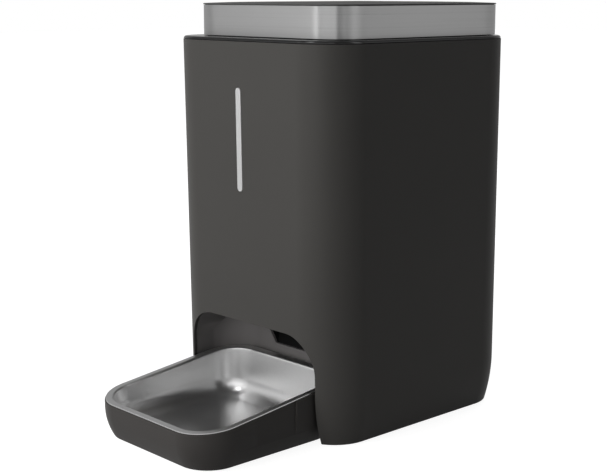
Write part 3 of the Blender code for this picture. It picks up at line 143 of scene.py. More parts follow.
def bump(material, shader, height, distance):
    """Raises the surface by a height that comes as 0..1, to the given distance."""
    tree = material.node_tree
    node = tree.nodes.new("ShaderNodeBump")
    node.inputs["Distance"].default_value = distance
    tree.links.new(height, node.inputs["Height"])
    tree.links.new(node.outputs["Normal"], shader.inputs["Normal"])
    return node


def moulded(name, colour, roughness, specular=0.5, unevenness=0.04, grain=0.00002):
    """Moulded plastic or rubber in a colour, with the grain group wired in."""
    material, shader = new_material(name, colour, roughness, specular=specular)
    tree = material.node_tree
    group = tree.nodes.new("ShaderNodeGroup")
    group.node_tree = MOULDED_GRAIN
    group.inputs["Colour"].default_value = (*colour, 1)
    group.inputs["Roughness"].default_value = roughness
    group.inputs["Unevenness"].default_value = unevenness
    tree.links.new(group.outputs["Colour"], shader.inputs["Base Color"])
    tree.links.new(group.outputs["Roughness"], shader.inputs["Roughness"])
    bump(material, shader, group.outputs["Height"], grain)
    return material


def body_of(node):
    """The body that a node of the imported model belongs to."""
    bodies = frame["record"]["behaviour"]["bodies"]
    return next(body for body, members in bodies.items() if node in members)


def baked(piece):
    """Puts what the modifiers make into the piece's own mesh."""
    depsgraph = bpy.context.evaluated_depsgraph_get()
    mesh = bpy.data.meshes.new_from_object(piece.evaluated_get(depsgraph))
    piece.modifiers.clear()
    piece.data = mesh
    return piece


def stand_for(piece, *nodes):
    """The piece rides with these nodes' body and is shown in their place."""
    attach(piece, body_of(nodes[0]))
    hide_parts(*nodes)
    return piece


def edge_rounded(piece, width, segments=2, angle=SHARP_ANGLE):
    """Rounds every edge sharper than the angle, then shades the rest smooth."""
    rounding = piece.modifiers.new("edge", "BEVEL")
    rounding.width = width
    rounding.segments = segments
    rounding.limit_method = "ANGLE"
    rounding.angle_limit = angle
    rounding.harden_normals = False
    baked(piece)
    piece.data.shade_smooth()
    piece.data.set_sharp_from_angle(angle=SHARP_ANGLE)
    evening = piece.modifiers.new("even", "WEIGHTED_NORMAL")
    evening.weight = 90
    evening.keep_sharp = True
    return baked(piece)


def dressed(node, material, edge=MOULDED_EDGE):
    """A copy of a solid with its points merged and its edges rounded, shown in its place."""
    mesh = frame["nodes"][node].data.copy()
    work = bmesh.new()
    work.from_mesh(mesh)
    bmesh.ops.remove_doubles(work, verts=work.verts, dist=MERGE_DISTANCE)
    bmesh.ops.dissolve_limit(work, angle_limit=FLAT_ANGLE, verts=work.verts, edges=work.edges)
    work.to_mesh(mesh)
    work.free()
    piece = bpy.data.objects.new(node + "_finish", mesh)
    bpy.context.scene.collection.objects.link(piece)
    mesh.materials.clear()
    mesh.materials.append(material)
    edge_rounded(piece, edge)
    return stand_for(piece, node)


base_plastic = moulded("charcoal base plastic", CHARCOAL, 0.5)
dressed("base_plate", base_plastic)
dressed("battery_door", base_plastic)


# Feet and tray pads
# Discs under the tower and bars under the tray, cut from black rubber sheet and glued on, so
# that the feeder stays put. Their cut edges are crisp.
RUBBER_BLACK = (0.018, 0.018, 0.018)
RUBBER_EDGE = 0.00015

rubber = moulded("black rubber", RUBBER_BLACK, 0.75, specular=0.3, unevenness=0.06, grain=0.00004)
for number in range(1, 5):
    dressed(f"foot_{number}", rubber, RUBBER_EDGE)
dressed("tray_pad_front", rubber, RUBBER_EDGE)
dressed("tray_pad_back", rubber, RUBBER_EDGE)


# Base screws
# Four zinc-plated pan-head screws with a cross recess, driven up through the base plate. One
# screw is modelled on its own axis and placed on each of the four holes.
SCREW_EDGE = 0.00012
RECESS_LENGTH = 0.0032
RECESS_WIDTH = 0.0008
RECESS_DEPTH = 0.0009
ZINC = (0.58, 0.58, 0.57)


def geometry_tree(name):
    """An empty geometry node tree with its output socket, and its two end nodes."""
    tree = bpy.data.node_groups.new(name, "GeometryNodeTree")
    tree.interface.new_socket(name="Geometry", in_out="OUTPUT", socket_type="NodeSocketGeometry")
    return tree, tree.nodes.new("NodeGroupInput"), tree.nodes.new("NodeGroupOutput")


def node_input(tree, kind, name, value):
    """A named input of a geometry node tree with its first value."""
    made = tree.interface.new_socket(name=name, in_out="INPUT", socket_type=kind)
    made.default_value = value
    return made


def end_tree(tree, out, geometry, material):
    """Ends a tree in real geometry that carries the material."""
    realize = tree.nodes.new("GeometryNodeRealizeInstances")
    paint = tree.nodes.new("GeometryNodeSetMaterial")
    paint.inputs["Material"].default_value = material
    tree.links.new(geometry, realize.inputs["Geometry"])
    tree.links.new(realize.outputs["Geometry"], paint.inputs["Geometry"])
    tree.links.new(paint.outputs["Geometry"], out.inputs["Geometry"])


def plated_metal(name, colour, roughness):
    """Bright plated or drawn metal with faint stains in its gloss."""
    material, shader = new_material(name, colour, roughness, metallic=1.0)
    tree = material.node_tree
    place = tree.nodes.new("ShaderNodeTexCoord").outputs["Object"]
    stains = noise(tree, place, 160, 3)
    gloss = remap(tree, stains.outputs["Fac"], roughness - 0.08, roughness + 0.08)
    tree.links.new(gloss, shader.inputs["Roughness"])
    return material


def repeated(name, tree, values):
    """Runs a geometry node tree on an empty mesh, with its inputs set by name, and keeps the result."""
    piece = bpy.data.objects.new(name, bpy.data.meshes.new(name))
    bpy.context.scene.collection.objects.link(piece)
    modifier = piece.modifiers.new(name, "NODES")
    modifier.node_group = tree
    for item in tree.interface.items_tree:
        if item.in_out == "INPUT" and item.name in values:
            modifier[item.identifier] = values[item.name]
    baked(piece)
    return piece


def screws_tree(screw, material):
    """Places the screw at the corners of a rectangle of holes."""
    tree, given, out = geometry_tree("screws")
    node_input(tree, "NodeSocketFloat", "Spacing Across", 0.12)
    node_input(tree, "NodeSocketFloat", "Spacing Along", 0.08)
    node_input(tree, "NodeSocketVector", "Centre", (0, 0, 0))
    grid = tree.nodes.new("GeometryNodeMeshGrid")
    grid.inputs["Vertices X"].default_value = 2
    grid.inputs["Vertices Y"].default_value = 2
    tree.links.new(given.outputs["Spacing Across"], grid.inputs["Size X"])
    tree.links.new(given.outputs["Spacing Along"], grid.inputs["Size Y"])
    move = tree.nodes.new("GeometryNodeTransform")
    tree.links.new(grid.outputs["Mesh"], move.inputs["Geometry"])
    tree.links.new(given.outputs["Centre"], move.inputs["Translation"])
    source = tree.nodes.new("GeometryNodeObjectInfo")
    source.inputs["Object"].default_value = screw
    place = tree.nodes.new("GeometryNodeInstanceOnPoints")
    tree.links.new(move.outputs["Geometry"], place.inputs["Points"])
    tree.links.new(source.outputs["Geometry"], place.inputs["Instance"])
    end_tree(tree, out, place.outputs["Instances"], material)
    return tree


def slab(name, low, high):
    """A box between two corners, as a tool for cutting."""
    work = bmesh.new()
    bmesh.ops.create_cube(work, size=1)
    size = high - low
    bmesh.ops.transform(work, matrix=Matrix.LocRotScale((low + high) / 2, None, size), verts=work.verts)
    mesh = bpy.data.meshes.new(name)
    work.to_mesh(mesh)
    work.free()
    tool = bpy.data.objects.new(name, mesh)
    bpy.context.scene.collection.objects.link(tool)
    return tool


def cut(piece, tools):
    """Takes each tool out of the piece, and removes the tools."""
    for tool in tools:
        modifier = piece.modifiers.new("cut", "BOOLEAN")
        modifier.operation = "DIFFERENCE"
        modifier.solver = "EXACT"
        modifier.object = tool
    baked(piece)
    for tool in tools:
        bpy.data.objects.remove(tool, do_unlink=True)
    return piece


def one_screw():
    """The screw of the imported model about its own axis, with a cross cut into its head."""
    low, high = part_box("base_screw_1")
    mesh = frame["nodes"]["base_screw_1"].data.copy()
    work = bmesh.new()
    work.from_mesh(mesh)
    bmesh.ops.remove_doubles(work, verts=work.verts, dist=MERGE_DISTANCE)
    middle = Vector(((low.x + high.x) / 2, (low.y + high.y) / 2, 0))
    bmesh.ops.translate(work, vec=-middle, verts=work.verts)
    work.to_mesh(mesh)
    work.free()
    screw = bpy.data.objects.new("one_screw", mesh)
    bpy.context.scene.collection.objects.link(screw)
    arms = []
    for across, along in ((RECESS_LENGTH, RECESS_WIDTH), (RECESS_WIDTH, RECESS_LENGTH)):
        reach = Vector((across / 2, along / 2, RECESS_DEPTH))
        floor = Vector((0, 0, low.z))
        arms.append(slab("recess", floor - reach, floor + reach))
    cut(screw, arms)
    return edge_rounded(screw, SCREW_EDGE)


zinc = plated_metal("zinc plate", ZINC, 0.3)
screw = one_screw()
corner_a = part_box("base_screw_1")[0]
corner_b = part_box("base_screw_4")[0]
screw_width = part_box("base_screw_1")[1].x - corner_a.x
spacing = corner_b - corner_a
centre = (corner_a + corner_b) / 2 + Vector((screw_width / 2, screw_width / 2, 0))
screws = repeated(
    "base_screws",
    screws_tree(screw, zinc),
    {
        "Spacing Across": spacing.x,
        "Spacing Along": spacing.y,
        "Centre": (centre.x, centre.y, 0),
    },
)
bpy.data.objects.remove(screw, do_unlink=True)
stand_for(screws, "base_screw_1", "base_screw_2", "base_screw_3", "base_screw_4")


# Motor and bracket
# A small geared motor in a plated steel can hangs from a pressed steel bracket under the
# dispenser. The bracket's four legs are riveted up to the chamber floor.
PRESSED_EDGE = 0.00035
MOTOR_STEEL = (0.5, 0.5, 0.49)

plated = plated_metal("plated motor steel", MOTOR_STEEL, 0.34)
dressed("gear_motor", plated, PRESSED_EDGE)
dressed("motor_bracket", zinc, PRESSED_EDGE)


# Gear drive
# The 12-tooth pinion on the motor turns the 36-tooth gear at a third of its speed. Both are
# milky white acetal, on a ground steel shaft in a flanged acetal bush.
ACETAL_WHITE = (0.78, 0.77, 0.72)
SHAFT_STEEL = (0.6, 0.6, 0.6)
TOOTH_EDGE = 0.0001
BUSH_EDGE = 0.0002
SHAFT_EDGE = 0.0003

acetal = moulded("milky acetal", ACETAL_WHITE, 0.35, unevenness=0.03, grain=0.000005)
ground_steel = plated_metal("ground steel", SHAFT_STEEL, 0.18)
dressed("motor_pinion", acetal, TOOTH_EDGE)
dressed("drive_gear", acetal, TOOTH_EDGE)
dressed("shaft_bush", acetal, BUSH_EDGE)
dressed("rotor_shaft", ground_steel, SHAFT_EDGE)


# Dispenser and chute
# The measuring chamber with its floor, posts and outlet is one dark moulding, and the chute is
# a black duct pushed up under its outlet.
INNER_DARK = (0.03, 0.03, 0.031)
DUCT_BLACK = (0.006, 0.006, 0.006)

inner_plastic = moulded("dark inner plastic", INNER_DARK, 0.5, grain=0.00001)
duct_plastic = moulded("black duct plastic", DUCT_BLACK, 0.6, specular=0.2, grain=0.00001)
dressed("dispenser_deck", inner_plastic)
dressed("chute", duct_plastic)


# Food rotor
# A six-bladed wheel in soft grey silicone rubber, pressed on the shaft, that carries one
# portion in each pocket round to the outlet.
ROTOR_GREY = (0.3, 0.31, 0.33)
ROTOR_EDGE = 0.0005

rotor_rubber = moulded("grey rotor rubber", ROTOR_GREY, 0.6, specular=0.35)
dressed("food_rotor", rotor_rubber, ROTOR_EDGE)


# Food tank and baffle
# The tank is smooth smoked plastic that funnels from a rectangle down to a round neck, which
# drops into the chamber. The baffle is a plate snapped across the front of that neck.
SMOKE_GREY = (0.13, 0.13, 0.135)
TANK_EDGE = 0.0004
BAFFLE_EDGE = 0.0003

smoke = moulded("smoked tank plastic", SMOKE_GREY, 0.28, grain=0.000004)
dressed("hopper", smoke, TANK_EDGE)
dressed("outlet_baffle", smoke, BAFFLE_EDGE)


# Control board
# A green fibreglass board stands at the rear on the base plate, with its chips and the push
# switch that the rear button works.
SOLDER_MASK = (0.015, 0.1, 0.035)
BOARD_EDGE = 0.00015

solder_mask = moulded("green solder mask", SOLDER_MASK, 0.4, grain=0.000004)
dressed("main_board", solder_mask, BOARD_EDGE)


# Rear fittings
# The power inlet is a black nylon panel socket held by its nut, and the pairing button a
# rubber-tipped plunger that returns by its switch's spring.
NYLON_BLACK = (0.014, 0.014, 0.014)
INLET_EDGE = 0.0002
BUTTON_EDGE = 0.0004

nylon = moulded("black nylon", NYLON_BLACK, 0.42, grain=0.000008)
dressed("dc_inlet", nylon, INLET_EDGE)
dressed("pairing_button", nylon, BUTTON_EDGE)


# Niche liner
# The tunnel behind the arch is a separate matt moulding with round back corners that ends in
# the food opening. Two low stops on its back wall meet the tray. Its grey is lighter than the
# tower's charcoal: partly its own colour, partly painted light for what the steel bowl throws up into it.
class Ring(NamedTuple):
    """A rounded rectangle: height, half width, front and back y, corner, tilt along y, eased or not."""

    z: float
    half: float
    front: float
    back: float
    corner: float
    rise: float = 0.0
    eased: bool = False


CORNER_STEPS = 24
SMALLEST_CORNER = 0.001


def quarter_turn(steps):
    """Sine and one minus cosine at even steps over a quarter turn."""
    turns = [math.pi / 2 * step / steps for step in range(steps + 1)]
    return [(math.sin(turn), 1 - math.cos(turn)) for turn in turns]


def eased_turn(steps, parts=16):
    """A quarter turn that eases in and out of its bend, as deep on its diagonal as the round one."""
    along = across = 0.0
    points = [(along, across)]
    for part in range(steps * parts):
        share = (part + 0.5) / (steps * parts)
        turn = math.pi / 2 * share - math.sin(2 * math.pi * share) / 4
        along += math.cos(turn)
        across += math.sin(turn)
        if (part + 1) % parts == 0:
            points.append((along, across))
    halfway = points[steps // 2]
    depth = math.hypot(points[-1][0] - halfway[0], halfway[1])
    scale = (math.sqrt(2) - 1) / depth
    return [(run * scale, rise * scale) for run, rise in points]


ROUND_CORNER = quarter_turn(CORNER_STEPS)
EASED_CORNER = eased_turn(CORNER_STEPS)


def ring_points(ring):
    """The ring's points, counter-clockwise seen from above, from its front right corner."""
    curve = EASED_CORNER if ring.eased else ROUND_CORNER
    reach = curve[-1][0]
    sides = (
        (Vector((ring.half, ring.front)), Vector((1, 0))),
        (Vector((ring.half, ring.back)), Vector((0, 1))),
        (Vector((-ring.half, ring.back)), Vector((-1, 0))),
        (Vector((-ring.half, ring.front)), Vector((0, -1))),
    )
    points = []
    for tip, heading in sides:
        left = Vector((-heading.y, heading.x))
        for run, rise in curve:
            points.append(tip + ring.corner * ((run - reach) * heading + rise * left))
    return points


def drawn_in(ring, amount, z=None):
    """The same ring, smaller by an amount on every side."""
    return ring._replace(
        z=ring.z if z is None else z,
        half=ring.half - amount,
        front=ring.front + amount,
        back=ring.back - amount,
        corner=max(ring.corner - amount, SMALLEST_CORNER),
    )


def finished_mesh(work, name):
    """A new smooth-shaded object from a bmesh whose faces are turned outwards."""
    bmesh.ops.remove_doubles(work, verts=work.verts, dist=MERGE_DISTANCE)
    bmesh.ops.recalc_face_normals(work, faces=work.faces)
    mesh = bpy.data.meshes.new(name)
    work.to_mesh(mesh)
    work.free()
    mesh.shade_smooth()
    mesh.set_sharp_from_angle(angle=SHARP_ANGLE)
    piece = bpy.data.objects.new(name, mesh)
    bpy.context.scene.collection.objects.link(piece)
    return piece


def skin(name, rings, closed=False, pivot=0.0):
    """A surface through rings, capped at its ends or closed on itself; tilts turn about the pivot y."""
    work = bmesh.new()
    rows = []
    for ring in rings:
        row = [work.verts.new((x, y, ring.z + ring.rise * (y - pivot))) for x, y in ring_points(ring)]
        rows.append(row)
    pairs = list(zip(rows, rows[1:]))
    if closed:
        pairs.append((rows[-1], rows[0]))
    else:
        work.faces.new(reversed(rows[0]))
        work.faces.new(rows[-1])
    for lower, upper in pairs:
        for index, vertex in enumerate(lower):
            after = (index + 1) % len(lower)
            work.faces.new((vertex, lower[after], upper[after], upper[index]))
    return finished_mesh(work, name)


def prism(name, outline, low, high):
    """An outline of x and z drawn out along y."""
    work = bmesh.new()
    near = [work.verts.new((x, low, z)) for x, z in outline]
    far = [work.verts.new((x, high, z)) for x, z in outline]
    work.faces.new(near)
    work.faces.new(reversed(far))
    for index, vertex in enumerate(near):
        after = (index + 1) % len(near)
        work.faces.new((near[after], vertex, far[index], far[after]))
    return finished_mesh(work, name)


CUT_PAST = 0.004
NICHE_EDGE = 0.0006
ARCH_CORNER = 0.0270
LINER_WALL = 0.0022
# Lighter than the tower's charcoal: partly the liner's own colour, partly painted light standing in for
# light bounced up from the steel bowl.
NICHE_GREY_WITH_BOUNCE = (0.145, 0.138, 0.136)

liner_low, liner_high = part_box("niche_liner")
arch_half = liner_high.x - LINER_WALL
arch_top = liner_high.z - LINER_WALL


def arch_outline(margin=0.0):
    """The arch in x and z, its legs drawn down past the floor."""
    ring = Ring(0, arch_half + margin, -arch_top, arch_top + margin, ARCH_CORNER + margin)
    return ring_points(ring)


niche_plastic_with_bounce_light = moulded("matt niche plastic with painted bounce light", NICHE_GREY_WITH_BOUNCE, 0.55, specular=0.35)
dressed("niche_liner", niche_plastic_with_bounce_light, NICHE_EDGE)


# Tower shell
# One deep injection moulding in warm charcoal with a satin, finely grained face. Its sides
# flare a little upwards, its foot curves in, and the arch is cut through its front.
SIDE_FLARE = 0.0007
FRONT_FLARE = 0.0049
BACK_FLARE = 0.0006
TOWER_CORNER = 0.0340
SHELL_WALL = 0.0025
TUCK_HEIGHT = 0.0370
TUCK_DEPTH = 0.0052
FOOT_EDGE = 0.0008
SHELL_EDGE = 0.0007
LIGHT_X = -0.0051
LIGHT_WIDTH = 0.0054
LIGHT_LENGTH = 0.0745
LIGHT_GAP = 0.0003
SMALL_STEPS = 32
REAR_HOLES = {"dc_inlet": 0.0065, "pairing_button": 0.0039}
TUCK_LEVELS = 14
EDGE_STEPS = 6
SATIN = 0.42
SATIN_SPECULAR = 0.16

shell_low, shell_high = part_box("outer_shell")


def tuck(z, height, depth):
    """How far a wall has curved in at a height, on an arc that starts upright."""
    if z >= height:
        return 0.0
    radius = (height**2 + depth**2) / (2 * depth)
    return radius - math.sqrt(radius**2 - (height - z) ** 2)


def tower_ring(z, drawn=0.0):
    """The tower's outline at a height, drawn in by an amount."""
    below = 1 - z / shell_high.z
    inward = drawn + tuck(z, TUCK_HEIGHT, TUCK_DEPTH)
    return Ring(
        z,
        shell_high.x - SIDE_FLARE * below - inward,
        shell_low.y + FRONT_FLARE * below + inward,
        shell_high.y - BACK_FLARE * below - inward,
        TOWER_CORNER - inward,
    )


def bar_outline(half_width, half_length, x, z):
    """A bar with round ends, upright in x and z."""
    points = []
    for end, start in ((1, 0), (-1, math.pi)):
        for step in range(SMALL_STEPS // 2 + 1):
            turn = start + math.pi * step / (SMALL_STEPS // 2)
            rise = end * (half_length - half_width) + half_width * math.sin(turn)
            points.append((x + half_width * math.cos(turn), z + rise))
    return points


def circle_outline(radius, x, z):
    """A circle in x and z."""
    turns = [2 * math.pi * step / SMALL_STEPS for step in range(SMALL_STEPS)]
    return [(x + radius * math.cos(turn), z + radius * math.sin(turn)) for turn in turns]


def tower_shell():
    """The lofted wall with the arch, the light's slot and the rear holes cut out of it."""
    span = TUCK_HEIGHT - shell_low.z - FOOT_EDGE
    levels = [shell_low.z + FOOT_EDGE + span * step / TUCK_LEVELS for step in range(1, TUCK_LEVELS + 1)]
    outside = []
    for rise, run in quarter_turn(EDGE_STEPS):
        outside.append(tower_ring(shell_low.z + FOOT_EDGE * run, FOOT_EDGE * (1 - rise)))
    outside += [tower_ring(z) for z in levels] + [tower_ring(shell_high.z)]
    inside = [tower_ring(shell_high.z, SHELL_WALL)]
    inside += [tower_ring(z, SHELL_WALL) for z in reversed(levels)]
    inside.append(tower_ring(shell_low.z, SHELL_WALL))
    shell = skin("tower_shell", outside + inside, closed=True)

    strip_low, strip_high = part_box("light_strip")
    strip_z = (strip_low.z + strip_high.z) / 2
    slot = bar_outline(LIGHT_WIDTH / 2 + LIGHT_GAP, LIGHT_LENGTH / 2 + LIGHT_GAP, LIGHT_X, strip_z)
    tools = [
        prism("arch", arch_outline(), shell_low.y - CUT_PAST, liner_high.y - CUT_PAST),
        prism("slot", slot, shell_low.y - CUT_PAST, shell_low.y + 2 * CUT_PAST),
    ]
    for node, radius in REAR_HOLES.items():
        low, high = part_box(node)
        middle = (low + high) / 2
        outline = circle_outline(radius, middle.x, middle.z)
        tools.append(prism("rear_hole", outline, shell_high.y - CUT_PAST, shell_high.y + CUT_PAST))
    cut(shell, tools)
    return edge_rounded(shell, SHELL_EDGE, 3)


shell_plastic = moulded("satin charcoal plastic", CHARCOAL, SATIN, specular=SATIN_SPECULAR, unevenness=0.03)
shell = tower_shell()
shell.data.materials.append(shell_plastic)
stand_for(shell, "outer_shell")


# Light strip
# A bar of frosted acrylic, clipped in from inside and almost flush with the wall. The small
# white lamps on the board behind it show through as an even glow when it is lit.
FROST_WHITE = (0.48, 0.48, 0.48)
STRIP_EDGE = 0.00015

frosted = moulded("frosted acrylic", FROST_WHITE, 0.38, grain=0.000006)
dressed("light_strip", frosted, STRIP_EDGE)
dressed("light_board", solder_mask, BOARD_EDGE)


# Shoulder ring
# A gloss black moulding that caps the tower's wall and frames the mouth of the tank. Its
# rounded outer edge catches the light as a thin line.
RING_EDGE = 0.0020
RING_DECK = 0.0020
RING_LIP = 0.0016
RING_SETBACK = 0.0002
SEAT_GAP = 0.0003
MOUTH_LEDGE = 0.0048
LID_CORNER = 0.0205
GLOSS_EDGE = 0.0003
RING_EDGE_STEPS = 10
PIANO_BLACK = (0.0045, 0.0045, 0.0047)

ring_low, ring_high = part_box("shoulder_ring")
band_low, band_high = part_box("lid_band")


def lid_ring(z, drawn=0.0):
    """The lid's outline at a height, drawn in by an amount."""
    return drawn_in(Ring(z, band_high.x, band_low.y, band_high.y, LID_CORNER, eased=True), drawn)


def shoulder_ring():
    """The ring's section carried round: lip in the shell, rounded edge, deck and mouth."""
    lip = SHELL_WALL + SEAT_GAP
    edge_bottom = ring_high.z - RING_EDGE
    rows = [
        tower_ring(shell_high.z, lip)._replace(z=ring_low.z),
        tower_ring(shell_high.z, lip)._replace(z=edge_bottom),
    ]
    for rise, run in quarter_turn(RING_EDGE_STEPS):
        row = tower_ring(shell_high.z, RING_SETBACK + RING_EDGE * run)
        rows.append(row._replace(z=edge_bottom + RING_EDGE * rise))
    rows += [
        lid_ring(ring_high.z, MOUTH_LEDGE),
        lid_ring(ring_high.z - RING_DECK, MOUTH_LEDGE),
        tower_ring(shell_high.z, lip + RING_LIP)._replace(z=ring_high.z - RING_DECK),
        tower_ring(shell_high.z, lip + RING_LIP)._replace(z=ring_low.z),
    ]
    return edge_rounded(skin("shoulder_ring_gloss", rows, closed=True), GLOSS_EDGE)


piano_black, piano_shader = new_material("piano black plastic", PIANO_BLACK, 0.07)
piano_tree = piano_black.node_tree
piano_place = piano_tree.nodes.new("ShaderNodeTexCoord").outputs["Object"]
piano_smears = noise(piano_tree, piano_place, 45, 5, 0.6)
piano_gloss = remap(piano_tree, piano_smears.outputs["Fac"], 0.04, 0.13)
piano_tree.links.new(piano_gloss, piano_shader.inputs["Roughness"])
piano_ring = shoulder_ring()
piano_ring.data.materials.append(piano_black)
stand_for(piano_ring, "shoulder_ring")


# Lid inner parts
# The lid's pan is a dark moulding whose skirt drops into the tank's mouth, with a silicone
# gasket round it. A cup for a drying sachet hangs under it, closed by a slotted cover.
SILICONE_GREY = (0.24, 0.24, 0.24)
SEAL_EDGE = 0.0002
GRILLE_EDGE = 0.0003

silicone = moulded("grey silicone", SILICONE_GREY, 0.6, specular=0.35)
dressed("lid_liner", inner_plastic)
dressed("lid_seal", silicone, SEAL_EDGE)
dressed("desiccant_box", inner_plastic)
dressed("desiccant_grille", inner_plastic, GRILLE_EDGE)


# Lid band
# A sleeve of stainless sheet, bent round the lid and brushed along its length, so that fine
# level lines run round it. It is pushed over the lid's pan and held by the cap's edge.
BAND_WALL = 0.0008
BAND_EDGE = 0.0002
STEEL_GREY = (0.42, 0.42, 0.42)
BAND_STROKES = (7, 7, 1900)
BAND_RELIEF = 0.0000025
BAND_SPREAD = 0.16
STROKE_BLUR = 0.6


def brushed_lines_group():
    """Fine lines drawn along a surface: long and short strokes, for colour, gloss and relief."""
    tree = bpy.data.node_groups.new("brushed lines", "ShaderNodeTree")
    socket(tree, "INPUT", "NodeSocketVector", "Stroke Space", (0, 0, 0))
    socket(tree, "INPUT", "NodeSocketColor", "Colour", (0.5, 0.5, 0.5, 1))
    socket(tree, "INPUT", "NodeSocketFloat", "Colour Spread", 0.1)
    socket(tree, "INPUT", "NodeSocketFloat", "Roughness", 0.3)
    socket(tree, "INPUT", "NodeSocketFloat", "Roughness Spread", 0.06)
    socket(tree, "OUTPUT", "NodeSocketColor", "Colour")
    socket(tree, "OUTPUT", "NodeSocketFloat", "Roughness")
    socket(tree, "OUTPUT", "NodeSocketFloat", "Height")
    given = tree.nodes.new("NodeGroupInput")
    out = tree.nodes.new("NodeGroupOutput")
    fine = noise(tree, given.outputs["Stroke Space"], 1, 3, 0.7)
    broad = noise(tree, given.outputs["Stroke Space"], 0.23, 2)
    both = tree.nodes.new("ShaderNodeMath")
    both.operation = "ADD"
    tree.links.new(fine.outputs["Fac"], both.inputs[0])
    tree.links.new(broad.outputs["Fac"], both.inputs[1])
    centred = remap(tree, both.outputs["Value"], -2, 0)
    around = tree.nodes.new("ShaderNodeMath")
    around.operation = "ADD"
    around.inputs[1].default_value = 1
    tree.links.new(centred, around.inputs[0])

    shade = tree.nodes.new("ShaderNodeMath")
    shade.operation = "MULTIPLY_ADD"
    shade.inputs[2].default_value = 1
    tree.links.new(around.outputs["Value"], shade.inputs[0])
    tree.links.new(given.outputs["Colour Spread"], shade.inputs[1])
    tint = tree.nodes.new("ShaderNodeVectorMath")
    tint.operation = "SCALE"
    tree.links.new(given.outputs["Colour"], tint.inputs[0])
    tree.links.new(shade.outputs["Value"], tint.inputs["Scale"])
    tree.links.new(tint.outputs["Vector"], out.inputs["Colour"])

    gloss = tree.nodes.new("ShaderNodeMath")
    gloss.operation = "MULTIPLY_ADD"
    tree.links.new(around.outputs["Value"], gloss.inputs[0])
    tree.links.new(given.outputs["Roughness Spread"], gloss.inputs[1])
    tree.links.new(given.outputs["Roughness"], gloss.inputs[2])
    tree.links.new(gloss.outputs["Value"], out.inputs["Roughness"])
    tree.links.new(fine.outputs["Fac"], out.inputs["Height"])
    return tree


BRUSHED_LINES = brushed_lines_group()


def brushed(name, colour, roughness, strokes, relief, spread=0.1):
    """Brushed metal. Strokes gives how many lines cross a metre along x, y and z."""
    material, shader = new_material(name, colour, roughness, metallic=1.0)
    tree = material.node_tree
    place = tree.nodes.new("ShaderNodeTexCoord").outputs["Object"]
    stretch = tree.nodes.new("ShaderNodeMapping")
    stretch.inputs["Scale"].default_value = strokes
    tree.links.new(place, stretch.inputs["Vector"])
    group = tree.nodes.new("ShaderNodeGroup")
    group.node_tree = BRUSHED_LINES
    group.inputs["Colour"].default_value = (*colour, 1)
    group.inputs["Colour Spread"].default_value = spread
    group.inputs["Roughness"].default_value = roughness
    tree.links.new(stretch.outputs["Vector"], group.inputs["Stroke Space"])
    tree.links.new(group.outputs["Colour"], shader.inputs["Base Color"])
    tree.links.new(group.outputs["Roughness"], shader.inputs["Roughness"])
    bump(material, shader, group.outputs["Height"], relief)
    return material


band_steel = brushed("brushed stainless band", STEEL_GREY, 0.25, BAND_STROKES, BAND_RELIEF, BAND_SPREAD)
band_shader = band_steel.node_tree.nodes["Principled BSDF"]
band_shader.inputs["Anisotropic"].default_value = STROKE_BLUR
band_shader.inputs["Anisotropic Rotation"].default_value = 0.25
band_tangent = band_steel.node_tree.nodes.new("ShaderNodeTangent")
band_tangent.direction_type = "RADIAL"
band_tangent.axis = "Z"
band_steel.node_tree.links.new(band_tangent.outputs["Tangent"], band_shader.inputs["Tangent"])
band = skin(
    "steel_band",
    [
        lid_ring(band_low.z),
        lid_ring(band_high.z),
        lid_ring(band_high.z, BAND_WALL),
        lid_ring(band_low.z, BAND_WALL),
    ],
    closed=True,
)
edge_rounded(band, BAND_EDGE)
band.data.materials.append(band_steel)
stand_for(band, "lid_band")


# Lid cap
# The top is a dark grey moulding with a low crown, pressed into the sleeve so that its edge
# stands just proud of the steel all round.
CAP_OVERHANG = 0.0004
CAP_EDGE = 0.0009
CAP_CROWN = 0.0012
CAP_EDGE_STEPS = 8
CROWN_RINGS = 16
CROWN_POWER = 2.4
CROWN_REACH_SHARE = 0.9
CAP_ROUND_SHARE = 2 / 3
CAP_GREY = (0.058, 0.058, 0.057)

cap_low, cap_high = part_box("lid_cap")


def lid_cap():
    """A plug inside the sleeve, a rounded edge over it and a crown that rises to the middle."""
    plug = BAND_WALL + SEAT_GAP
    edge_bottom = band_high.z + SEAT_GAP
    edge_top = edge_bottom + CAP_EDGE
    rows = [
        lid_ring(cap_low.z, plug),
        lid_ring(edge_bottom, plug),
        lid_ring(edge_bottom, -CAP_OVERHANG),
    ]
    rounding = CAP_EDGE * CAP_ROUND_SHARE
    for rise, run in quarter_turn(CAP_EDGE_STEPS):
        rows.append(lid_ring(edge_top - rounding + rounding * rise, rounding * run - CAP_OVERHANG))
    for step in range(1, CROWN_RINGS):
        reach_share = step / CROWN_RINGS
        height = CAP_CROWN * (1 - (1 - reach_share) ** CROWN_POWER)
        rows.append(lid_ring(edge_top + height, band_high.x * reach_share * CROWN_REACH_SHARE))
    return skin("cap_crown", rows)


cap_plastic = moulded("satin grey cap plastic", CAP_GREY, 0.5, specular=0.25, unevenness=0.02)
cap = lid_cap()
cap.data.materials.append(cap_plastic)
stand_for(cap, "lid_cap")


# Tray
# The bowl holder is a thick-walled moulding in the tower's charcoal, curved in towards its
# base, with a rim that slopes up to the back and a shallow finger grip in each side.
TRAY_CORNER = 0.0294
TRAY_RIM_SHARE = 0.121
TRAY_WALL = 0.0026
TRAY_FLOOR = 0.0026
TRAY_TUCK_HEIGHT = 0.0226
TRAY_TUCK_DEPTH = 0.0069
TRAY_EDGE = 0.0008
GRIP_SETBACK = 0.0446
GRIP_LENGTH = 0.0389
GRIP_RAMP = 0.0045
GRIP_DEPTH = 0.0014
TRAY_SOFT_EDGE = 0.0005
TRAY_ROUNDED_FROM = math.radians(25)
TRAY_LEVELS = 10
TRAY_CHARCOAL = (0.046, 0.043, 0.041)

tray_low, tray_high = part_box("tray")
rim_front = tray_high.z - TRAY_RIM_SHARE * (tray_high.y - tray_low.y)


